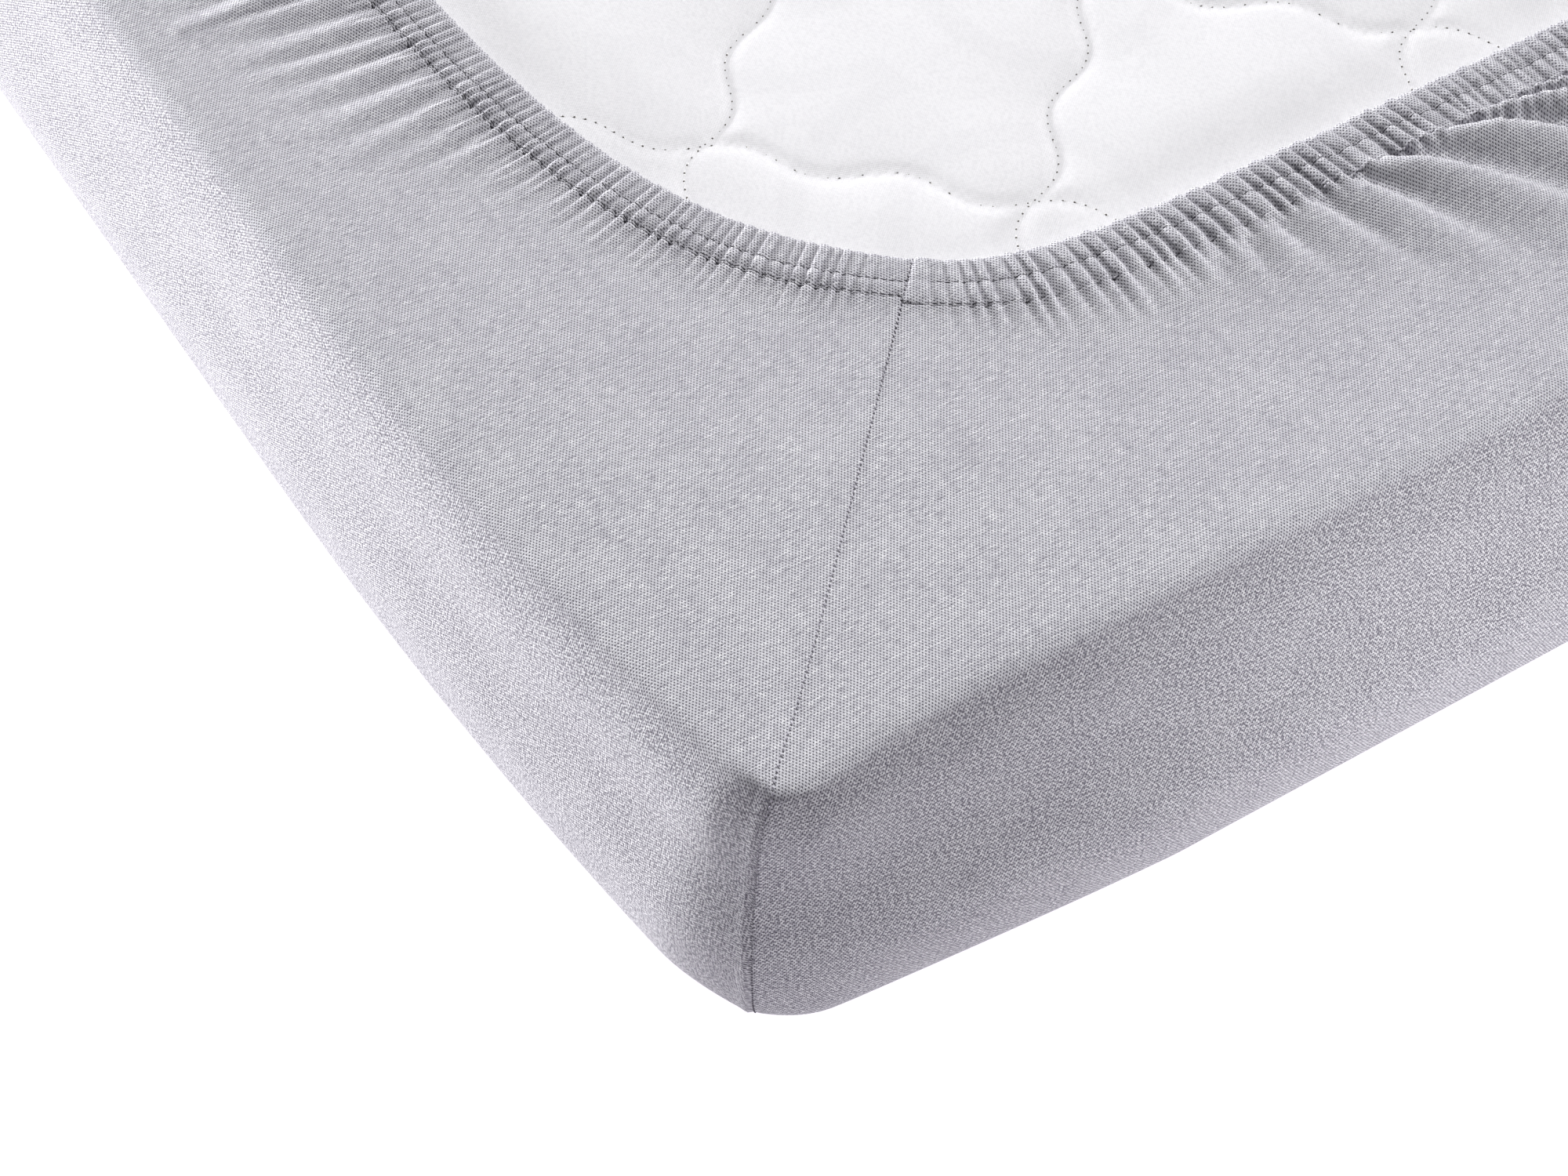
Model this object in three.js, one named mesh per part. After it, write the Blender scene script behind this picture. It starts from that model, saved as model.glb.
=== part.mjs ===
// A jersey fitted sheet pulled over a mattress that lies upside down, so that the gathered,
// elasticated hem is on top. Millimetres, +Z up, origin on the floor under the middle.
// The sheet is one thin closed shell: floor panel, bulging sides, the fold over the top edge and
// the cloth that is gathered into the hem. The mattress inside it is a plain quilted block.
import * as THREE from "three";

// ---- Driving dimensions -------------------------------------------------------------------------
const WIDTH = 900; // over the widest part of the flanks, along X
const LENGTH = 2000; // over the widest part of the ends, along Y
const TOP = 156; // floor to the flat cloth just inside the top edge
const BULGE_HEIGHT = 52; // floor to where the sides stand out most
const CLOTH = 2; // thickness of the knitted cloth
const HEM_THICK = 3; // turned hem with the elastic inside it
const HEM_WIDTH = 23; // free edge to the outer stitch row
const HEM_LIFT = 1.5; // the hem rolls up by this much at its free edge
const MATTRESS_GAP = 3.5; // between the cloth and the mattress at edges and sides
const FLOOR_GAP = 0.4; // between the floor panel and the mattress
const QUILT_PITCH = 126; // between parallel quilting lines, which run at 45 degrees
const QUILT_PUFF = 2; // how far a quilted cell swells up inside the hem
const QUILT_DIP = 3; // how deep the quilting lines are drawn in
const QUILT_SHIFT = { x: 15, y: -79 }; // where a crossing of the quilting lines lies

// The four sides run anticlockwise from the front left corner: two ends and two flanks. `folds`
// is how many gathers the elastic makes in the side, `ease` above 1 crowds them towards the side's
// start and below 1 towards its end, and `rise` is how high they stand.
const SIDES = [
  { name: "front", kind: "end", folds: 21, ease: 1.0, rise: 5.0 },
  { name: "right", kind: "flank", folds: 31, ease: 1.0, rise: 4.0 },
  { name: "back", kind: "end", folds: 11, ease: 1.0, rise: 4.0 },
  { name: "left", kind: "flank", folds: 37, ease: 0.8, rise: 3.0 },
];

// Inset of the hem's free edge from the outer box: `far` in the middle of a side, `gain` more at
// the corner seam, fading over `reach`.
const HEM_LINE = {
  end: { far: 179, gain: 27, reach: 32 },
  flank: { far: 140, gain: 89, reach: 70 },
};

// How the cloth's section runs from the tuck to the floor. `z` is the height, `lean` the angle of
// its outward normal over the horizontal, `end` and `flank` its inset from the outer box there,
// `radius` the rounding of its corners in plan, and `pullEnd` and `pullFlank` how far the tight
// sheet draws the corner in along each kind of side.
const SECTION = [
  { name: "tuck", z: TOP, lean: 90, end: 66, flank: 50, radius: 4, pullEnd: 1, pullFlank: 41 },
  { name: "edge in", z: TOP, lean: 90, end: 38, flank: 37, radius: 8, pullEnd: 1, pullFlank: 25 },
  { name: "edge", z: TOP - 2.6, lean: 45, end: 32, flank: 30, radius: 13, pullEnd: 1, pullFlank: 27 },
  { name: "edge out", z: TOP - 9, lean: 0, end: 28, flank: 26, radius: 18, pullEnd: 1, pullFlank: 25 },
  { name: "side", z: 102, lean: 0, end: 13, flank: 12, radius: 27, pullEnd: 10, pullFlank: 23 },
  { name: "bulge", z: BULGE_HEIGHT, lean: 0, end: 1, flank: 1, radius: 37, pullEnd: 15, pullFlank: 20 },
  { name: "roll", z: 14, lean: -45, end: 12, flank: 12, radius: 36, pullEnd: 14, pullFlank: 19 },
  { name: "floor", z: 0, lean: -90, end: 40, flank: 42, radius: 24, pullEnd: 12, pullFlank: 17 },
];
const FLANK_BOW = 17; // the long flanks bow out by this much from their corners to their middle

// How far from a corner the pull is felt, and how sharply it fades.
const PULL = { end: { reach: 180, power: 1.2 }, flank: { reach: 330, power: 2.2 } };
const CORNER_BUMP = { height: 6, spread: 34 }; // the ends jut out beside their corner seams
const FAN_REACH = 410; // how far from a corner the gathers fan out towards the seam
const CORNER_STEPS = [0, 17, 37, 60, 110]; // columns near a corner, along the side from it
const COLUMN_STEP = 84; // between columns along the plain part of a side

const degrees = (angle) => (angle * Math.PI) / 180;
const clamp01 = (x) => Math.min(1, Math.max(0, x));
const smooth = (x) => clamp01(x) ** 2 * (3 - 2 * clamp01(x));

// ---- Plan geometry ------------------------------------------------------------------------------
// A place on a side is given by `along`, its distance from the outer box's corner along the side,
// and `inset`, its distance inside the box.
function planPoint(sideIndex, along, inset) {
  const halfX = WIDTH / 2;
  const halfY = LENGTH / 2;
  const places = [
    [-halfX + along, -halfY + inset],
    [halfX - inset, -halfY + along],
    [halfX - along, halfY - inset],
    [-halfX + inset, halfY - along],
  ];
  return places[sideIndex];
}

const isEnd = (side) => side.kind === "end";
const boxLength = (side) => (isEnd(side) ? WIDTH : LENGTH);

// A row's inset from the box at the corners, on a side of this kind.
function cornerInset(row, kind) {
  return kind === "end" ? row.end + row.pullEnd : row.flank + row.pullFlank + bowLeft(row, 0);
}

// The part of a flank's bow that is still missing at this distance from the corner.
function bowLeft(row, distance) {
  const slack = clamp01((TOP - row.z) / (TOP - BULGE_HEIGHT)) * clamp01(row.z / BULGE_HEIGHT + 0.6);
  return FLANK_BOW * slack * Math.max(0, 1 - distance / (LENGTH / 2)) ** 1.15;
}

// Inset of a row from the box at `along`, with its rounded and drawn-in corners.
function rowInset(row, side, along) {
  const fromEnd = Math.min(along, boxLength(side) - along);
  const corner = cornerInset(row, isEnd(side) ? "flank" : "end");
  const distance = Math.max(0, fromEnd - corner);
  const pull = isEnd(side) ? row.pullEnd : row.pullFlank;
  const own = isEnd(side) ? row.end : row.flank + bowLeft(row, distance);
  const fade = PULL[side.kind];
  const straight = own + pull * Math.max(0, 1 - distance / fade.reach) ** fade.power;
  const centre = corner + row.radius;
  const short = Math.max(0, centre - fromEnd);
  const rounding = row.radius - Math.sqrt(Math.max(0, row.radius ** 2 - short ** 2));
  const bump = CORNER_BUMP.height * Math.exp(-(((fromEnd - centre) / CORNER_BUMP.spread) ** 2));
  const jut = isEnd(side) ? bump * clamp01((row.z - BULGE_HEIGHT) / (TOP - BULGE_HEIGHT)) : 0;
  return straight + rounding - jut;
}

// Where a row turns its corner: both of its sides meet there at 45 degrees.
function cornerAlong(row, side) {
  return cornerInset(row, isEnd(side) ? "flank" : "end") + row.radius * (1 - Math.SQRT1_2);
}

function hemInset(side, along) {
  const line = HEM_LINE[side.kind];
  const fromEnd = Math.min(along, boxLength(side) - along);
  const start = hemCorner(side);
  return line.far + line.gain * Math.exp(-Math.max(0, fromEnd - start) / line.reach);
}

// Distance from the box's corner to the hem's corner, along the side.
function hemCorner(side) {
  const cross = HEM_LINE[isEnd(side) ? "flank" : "end"];
  return cross.far + cross.gain;
}

// The gathers start square to the edge and fan out towards the corner seam: a place `t`, from 0 to
// 1 between the edge's two corners, meets the hem at this distance along the side.
function hemAlong(side, t) {
  const start = cornerAlong(SECTION[1], side);
  const span = boxLength(side) - 2 * start;
  const shift = hemCorner(side) - start;
  const along = start + span * t;
  const nearStart = clamp01(1 - (span * t) / FAN_REACH);
  const nearEnd = clamp01(1 - (span * (1 - t)) / FAN_REACH);
  return along + shift * (nearStart ** 2 - nearEnd ** 2);
}

// The place `t` whose gather meets the hem at this distance along the side.
function placeOfHem(side, along) {
  let low = 0;
  let high = 1;
  for (let step = 0; step < 40; step += 1) {
    const middle = (low + high) / 2;
    if (hemAlong(side, middle) < along) low = middle;
    else high = middle;
  }
  return (low + high) / 2;
}

// ---- Columns ------------------------------------------------------------------------------------
// Columns of the plain rows: close together at the corners, wide apart between them.
function plainColumns() {
  const columns = [];
  SIDES.forEach((side, index) => {
    const span = boxLength(side) - 2 * cornerAlong(SECTION[1], side);
    const near = CORNER_STEPS.map((step) => step / span);
    const middle = near[near.length - 1];
    const count = Math.round((span * (1 - 2 * middle)) / COLUMN_STEP);
    const places = near.slice(0, -1);
    for (let i = 0; i <= count; i += 1) places.push(middle + ((1 - 2 * middle) * i) / count);
    near.slice(1, -1).reverse().forEach((place) => places.push(1 - place));
    places.forEach((t) => columns.push({ index, side, t }));
  });
  return columns;
}

// Columns of the gathered rows: four to each gather, on its trough, flanks and crest.
const STEPS_PER_FOLD = 4;
function gatheredColumns() {
  const columns = [];
  SIDES.forEach((side, index) => {
    const start = hemCorner(side);
    const span = boxLength(side) - 2 * start;
    const count = side.folds * STEPS_PER_FOLD;
    for (let i = 0; i < count; i += 1) {
      const along = start + span * (i / count) ** side.ease;
      columns.push({ index, side, t: placeOfHem(side, along), fold: i / STEPS_PER_FOLD, along });
    }
  });
  return columns;
}

// ---- Rows ---------------------------------------------------------------------------------------
// A slow unevenness of the stuffed sides, which fades out at the corners.
function unevenness(column, z) {
  const swing = Math.sin(7.1 * column.t + 2.3 * column.index) + 0.6 * Math.sin(17.3 * column.t + z / 60);
  return 1.1 * swing * Math.sin(Math.PI * column.t);
}

// A ring of the plain rows, moved inwards from the outside of the cloth by `depth`.
function plainRing(row, columns, depth) {
  const inwards = depth * Math.cos(degrees(row.lean));
  const z = row.z - depth * Math.sin(degrees(row.lean));
  return columns.map((column) => {
    const { side, index, t } = column;
    const start = cornerAlong(row, side);
    const along = start + (boxLength(side) - 2 * start) * t;
    const loose = row.lean === 0 ? unevenness(column, row.z) : 0;
    const cut = cornerCut(inwards, t, side);
    const [x, y] = planPoint(index, along + cut, rowInset(row, side, along) + inwards + Math.max(0, loose));
    return { q: index + t, x, y, z };
  });
}

// At a corner an inner ring turns sooner, so its column there moves along the side as well.
const CUT_REACH = 60;
function cornerCut(inwards, t, side) {
  const reach = CUT_REACH / boxLength(side);
  return inwards * (clamp01(1 - t / reach) - clamp01(1 - (1 - t) / reach));
}

// How high a gather stands: nothing at the corner seams, uneven along the side.
function foldRise(column) {
  const fromSeam = Math.min(column.along, boxLength(column.side) - column.along) - hemCorner(column.side);
  const uneven = 0.72 + 0.28 * Math.sin(2.4 * Math.floor(column.fold) + column.index);
  return column.side.rise * uneven * smooth(fromSeam / 150);
}

// A ring of the gathered rows, `reach` out from the hem's free edge, its gathers at `share` of
// their full height, moved down by `depth`.
function gatheredRing(columns, reach, share, lift, depth) {
  const edge = SECTION[0];
  return columns.map((column) => {
    const { side, index, t } = column;
    const hem = planPoint(index, column.along, hemInset(side, column.along));
    const start = cornerAlong(edge, side);
    const along = start + (boxLength(side) - 2 * start) * t;
    const outer = planPoint(index, along, rowInset(edge, side, along));
    const run = Math.hypot(outer[0] - hem[0], outer[1] - hem[1]);
    const part = reach / run;
    const wave = 0.5 - 0.5 * Math.cos(2 * Math.PI * column.fold);
    const z = TOP + lift + foldRise(column) * share * wave - depth;
    const [x, y] = hem.map((value, axis) => value + (outer[axis] - value) * part);
    return { q: index + t, x, y, z };
  });
}

// ---- Closed bodies from rings ---------------------------------------------------------------------
// Joins two rings, which may have different columns, always stepping along the one that lags.
function bridge(faces, ringA, ringB, startA, startB) {
  const countA = ringA.length;
  const countB = ringB.length;
  const place = (ring, i) => ring[i % ring.length].q + SIDES.length * Math.floor(i / ring.length);
  let a = 0;
  let b = 0;
  while (a < countA || b < countB) {
    const stepB = a >= countA || (b < countB && place(ringB, b + 1) <= place(ringA, a + 1) + 1e-9);
    const cornerA = startA + (a % countA);
    const cornerB = startB + (b % countB);
    if (stepB) {
      b += 1;
      faces.push(cornerA, cornerB, startB + (b % countB));
    } else {
      a += 1;
      faces.push(cornerA, cornerB, startA + (a % countA));
    }
  }
}

// One closed body through the rings in turn, capped at both ends by a fan to its middle point.
function ringBody(rings) {
  const points = [];
  const faces = [];
  const starts = rings.map((ring) => {
    const start = points.length / 3;
    ring.forEach((point) => points.push(point.x, point.y, point.z));
    return start;
  });
  for (let i = 1; i < rings.length; i += 1) bridge(faces, rings[i - 1], rings[i], starts[i - 1], starts[i]);
  const first = rings[0];
  const last = rings[rings.length - 1];
  const firstMiddle = points.length / 3;
  points.push(0, 0, first[0].z, 0, 0, last[0].z);
  first.forEach((_, i) => faces.push(firstMiddle, starts[0] + i, starts[0] + ((i + 1) % first.length)));
  const lastStart = starts[starts.length - 1];
  last.forEach((_, i) => faces.push(lastStart + i, firstMiddle + 1, lastStart + ((i + 1) % last.length)));
  return bodyOf(points, faces);
}

function bodyOf(points, faces) {
  const geometry = new THREE.BufferGeometry();
  geometry.setAttribute("position", new THREE.Float32BufferAttribute(points, 3));
  geometry.setIndex(faces);
  return geometry;
}

// ---- The sheet ------------------------------------------------------------------------------------
// Gathered rows, from the hem's free edge outwards: `reach` from the edge, `share` of the gathers'
// height, `lift` over the tuck, and the cloth's thickness there.
const GATHERED_ROWS = [
  { name: "free edge", reach: 0, share: 0.25, lift: HEM_LIFT, thick: HEM_THICK },
  { name: "outer stitch row", reach: HEM_WIDTH, share: 0.55, lift: 0.4, thick: HEM_THICK - 0.6 },
  { name: "crests", reach: HEM_WIDTH + 14, share: 1, lift: 0, thick: CLOTH },
  { name: "fading", reach: HEM_WIDTH + 34, share: 0.5, lift: 0, thick: CLOTH },
  { name: "flat", reach: HEM_WIDTH + 58, share: 0, lift: 0, thick: CLOTH },
];

function sheetGeometry() {
  const plain = plainColumns();
  const gathered = gatheredColumns();
  const outside = [
    ...GATHERED_ROWS.map((row) => gatheredRing(gathered, row.reach, row.share, row.lift, 0)),
    ...SECTION.map((row) => plainRing(row, plain, 0)),
  ];
  const inside = [
    ...GATHERED_ROWS.map((row) => gatheredRing(gathered, row.reach, row.share, row.lift, row.thick)),
    ...SECTION.map((row) => plainRing(row, plain, CLOTH)),
  ];
  return ringBody([...inside.reverse(), ...outside]);
}

// ---- The mattress -----------------------------------------------------------------------------------
// Its sides follow the sheet's section a little further in. Its top is a grid whose diagonals lie
// on the quilting lines.
const GRID = (QUILT_PITCH * Math.SQRT2) / 4;
const GRID_X = 7; // grid cells each way from the middle, along X
const GRID_Y = 19; // and along Y
const MATTRESS_TOP = TOP - CLOTH - 1;

function mattressDepth(row) {
  return CLOTH + (row.lean === -90 ? FLOOR_GAP : MATTRESS_GAP);
}

// How far a point of the top lies inside the hem's free edge.
function insideHem(x, y) {
  const [alongX, alongY] = [WIDTH / 2 + x, LENGTH / 2 + y];
  const places = [
    [alongX, alongY],
    [alongY, WIDTH - alongX],
    [WIDTH - alongX, LENGTH - alongY],
    [LENGTH - alongY, alongX],
  ];
  return Math.min(...places.map(([along, inset], index) => inset - hemInset(SIDES[index], along)));
}

// Lines are drawn in everywhere, and cells swell up where no hem lies on them or beside them.
function quiltHeight(i, j, x, y) {
  const onLine = (i + j) % 4 === 0 || (i - j) % 4 === 0;
  const room = smooth((insideHem(x, y) - 1.5 * GRID) / GRID);
  return onLine ? -QUILT_DIP : QUILT_PUFF * room;
}

function mattressGeometry() {
  const plain = plainColumns();
  const rows = SECTION.slice(1).map((row) => plainRing(row, plain, mattressDepth(row)));
  rows[0].forEach((point) => {
    point.z = MATTRESS_TOP;
  });
  const points = [];
  const faces = [];
  const gridIndex = (i, j) => (i + GRID_X) * (2 * GRID_Y + 1) + (j + GRID_Y);
  for (let i = -GRID_X; i <= GRID_X; i += 1) {
    for (let j = -GRID_Y; j <= GRID_Y; j += 1) {
      const [x, y] = [i * GRID + QUILT_SHIFT.x, j * GRID + QUILT_SHIFT.y];
      points.push(x, y, MATTRESS_TOP + quiltHeight(i, j, x, y));
    }
  }
  for (let i = -GRID_X; i < GRID_X; i += 1) {
    for (let j = -GRID_Y; j < GRID_Y; j += 1) {
      const [a, b] = [gridIndex(i, j), gridIndex(i + 1, j)];
      const [c, d] = [gridIndex(i + 1, j + 1), gridIndex(i, j + 1)];
      if ((i + j) % 2 === 0) faces.push(a, b, c, a, c, d);
      else faces.push(a, b, d, b, c, d);
    }
  }
  const starts = rows.map((ring) => {
    const start = points.length / 3;
    ring.forEach((point) => points.push(point.x, point.y, point.z));
    return start;
  });
  joinGridToRing(faces, gridIndex, rows[0], starts[0]);
  for (let i = 1; i < rows.length; i += 1) bridge(faces, rows[i - 1], rows[i], starts[i - 1], starts[i]);
  const last = rows[rows.length - 1];
  const middle = points.length / 3;
  points.push(0, 0, last[0].z);
  const lastStart = starts[starts.length - 1];
  last.forEach((_, i) => faces.push(lastStart + i, middle, lastStart + ((i + 1) % last.length)));
  return bodyOf(points, faces);
}

// The grid's own rim, anticlockwise from its front left corner, joined to the first ring.
function joinGridToRing(faces, gridIndex, ring, ringStart) {
  const rim = [];
  const add = (sideIndex, count, at) => {
    for (let k = 0; k < count; k += 1) rim.push({ q: sideIndex + k / count, index: at(k) });
  };
  add(0, 2 * GRID_X, (k) => gridIndex(-GRID_X + k, -GRID_Y));
  add(1, 2 * GRID_Y, (k) => gridIndex(GRID_X, -GRID_Y + k));
  add(2, 2 * GRID_X, (k) => gridIndex(GRID_X - k, GRID_Y));
  add(3, 2 * GRID_Y, (k) => gridIndex(-GRID_X, GRID_Y - k));
  const local = [];
  bridge(local, rim, ring, 0, rim.length);
  local.forEach((v) => faces.push(v < rim.length ? rim[v].index : ringStart + v - rim.length));
}

// ---- The object -------------------------------------------------------------------------------------
function pieceOf(name, geometry, colour, roughness) {
  const material = new THREE.MeshStandardMaterial({ color: colour, roughness, metalness: 0 });
  const mesh = new THREE.Mesh(geometry, material);
  mesh.name = name;
  return mesh;
}

const fittedSheet = new THREE.Group();
fittedSheet.name = "fitted_sheet_on_mattress";
fittedSheet.add(pieceOf("sheet", sheetGeometry(), 0xc9c7cf, 0.95));
fittedSheet.add(pieceOf("mattress", mattressGeometry(), 0xf4f3f6, 0.85));

export default fittedSheet;
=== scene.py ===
"""A jersey fitted sheet pulled over an upside-down mattress, its gathered hem on top.

The plan, the section and the hem line repeat the model's own sizes in millimetres. The classes work
in millimetres and turn to metres when they make a mesh.
"""

from __future__ import annotations

import logging
import math
from collections.abc import Callable
from dataclasses import dataclass, field
from enum import Enum
from typing import ClassVar

import bpy
import numpy as np
from mathutils import Matrix, Vector


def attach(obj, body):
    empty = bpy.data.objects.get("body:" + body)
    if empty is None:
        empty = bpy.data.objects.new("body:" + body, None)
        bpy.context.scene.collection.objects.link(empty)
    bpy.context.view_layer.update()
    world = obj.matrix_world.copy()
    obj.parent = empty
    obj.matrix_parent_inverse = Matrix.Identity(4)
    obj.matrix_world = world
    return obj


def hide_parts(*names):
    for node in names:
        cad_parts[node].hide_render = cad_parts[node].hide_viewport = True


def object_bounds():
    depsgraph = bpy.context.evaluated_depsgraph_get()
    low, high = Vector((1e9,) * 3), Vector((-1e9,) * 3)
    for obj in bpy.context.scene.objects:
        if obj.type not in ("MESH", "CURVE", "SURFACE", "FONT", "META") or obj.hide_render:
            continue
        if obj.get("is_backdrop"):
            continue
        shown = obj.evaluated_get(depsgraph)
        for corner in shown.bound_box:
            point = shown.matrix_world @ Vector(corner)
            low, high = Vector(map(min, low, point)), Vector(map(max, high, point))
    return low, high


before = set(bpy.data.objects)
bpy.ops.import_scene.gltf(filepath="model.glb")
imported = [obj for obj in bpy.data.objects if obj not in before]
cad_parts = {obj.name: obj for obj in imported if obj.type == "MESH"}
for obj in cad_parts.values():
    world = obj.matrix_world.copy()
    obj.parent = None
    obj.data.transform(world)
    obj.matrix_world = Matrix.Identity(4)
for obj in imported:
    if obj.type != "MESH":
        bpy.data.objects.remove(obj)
CAD_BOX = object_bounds()

LOG = logging.getLogger("fitted_sheet")
MM = 0.001
ROOT = "root"


# ---- Small helpers ---------------------------------------------------------------------
def linear(colour: str) -> tuple[float, float, float, float]:
    """Turns an sRGB hex colour into a linear one.

    Args:
        colour: Six hex digits.

    Returns:
        Linear red, green and blue, and an alpha of 1.
    """
    parts = [int(colour[i : i + 2], 16) / 255 for i in (0, 2, 4)]
    red, green, blue = (c / 12.92 if c <= 0.04045 else ((c + 0.055) / 1.055) ** 2.4 for c in parts)
    return red, green, blue, 1.0


def clamp01(x: np.ndarray) -> np.ndarray:
    """Holds a value between 0 and 1."""
    return np.clip(x, 0.0, 1.0)


def smooth(x: np.ndarray) -> np.ndarray:
    """Rises from 0 to 1 with flat ends."""
    x = clamp01(x)
    return x * x * (3 - 2 * x)


def graded(length: float, spacing: Callable[[np.ndarray], np.ndarray]) -> np.ndarray:
    """Places from 0 to a length whose spacing varies along it.

    Args:
        length: The last place.
        spacing: The wanted spacing at an array of places.

    Returns:
        The places, an even number of steps in all.
    """
    fine = np.linspace(0, length, 4000)
    count = np.concatenate([[0], np.cumsum(np.diff(fine) / spacing((fine[1:] + fine[:-1]) / 2))])
    steps = 2 * math.ceil(count[-1] / 2)
    return np.interp(np.linspace(0, count[-1], steps + 1), count, fine)


def add_node(
    tree: bpy.types.NodeTree, kind: str, inputs: dict | None = None, **settings: object
) -> bpy.types.Node:
    """Adds a node to a tree.

    Args:
        tree: The tree that gets it.
        kind: Its type.
        inputs: Socket name or number to the value it holds or the socket it is linked from.
        **settings: The node's own properties.

    Returns:
        The new node.
    """
    node = tree.nodes.new(kind)
    for name, value in settings.items():
        setattr(node, name, value)
    for key, value in (inputs or {}).items():
        if isinstance(value, bpy.types.NodeSocket):
            tree.links.new(value, node.inputs[key])
        else:
            node.inputs[key].default_value = value
    return node


def linked(name: str, data: bpy.types.ID) -> bpy.types.Object:
    """Makes an object from its data and puts it in the scene."""
    obj = bpy.data.objects.new(name, data)
    bpy.context.scene.collection.objects.link(obj)
    return obj


# ---- The plan --------------------------------------------------------------------------
class Edge(Enum):
    """Which kind of side of the mattress a panel hangs over."""

    END = "end"
    FLANK = "flank"


def by_edge(end: float, flank: float) -> dict[Edge, float]:
    """A size that differs between the two kinds of side, as a dataclass field."""
    return field(default_factory=lambda: {Edge.END: end, Edge.FLANK: flank})


@dataclass(frozen=True)
class Row:
    """One height of the cloth's section.

    `lean` is how far the cloth has turned from upright there, in degrees, `end` and `flank` are its
    inset from the outer box on each kind of side, `radius` rounds its corners, and the pulls draw
    the corner in along each kind of side.
    """

    z: float
    lean: float
    end: float
    flank: float
    radius: float
    pull_end: float
    pull_flank: float


TOP = 156.0
SECTION = [
    Row(TOP, 90, 66, 50, 4, 1, 41),  # the tuck
    Row(TOP, 90, 35.5, 34, 8, 1, 26),  # the shoulder's inner edge
    Row(TOP - 1.8, 45, 31, 29.3, 12, 1, 27),  # the shoulder
    Row(TOP - 6.5, 0, 28.4, 26.6, 16, 1, 25.5),  # its outer edge
    Row(102, 0, 13, 12, 27, 10, 23),  # the side
    Row(52, 0, 1, 1, 37, 15, 20),  # the bulge
    Row(14, -45, 12, 12, 36, 14, 19),  # the roll under
    Row(0, -90, 40, 42, 24, 12, 17),  # the floor
]


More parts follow.
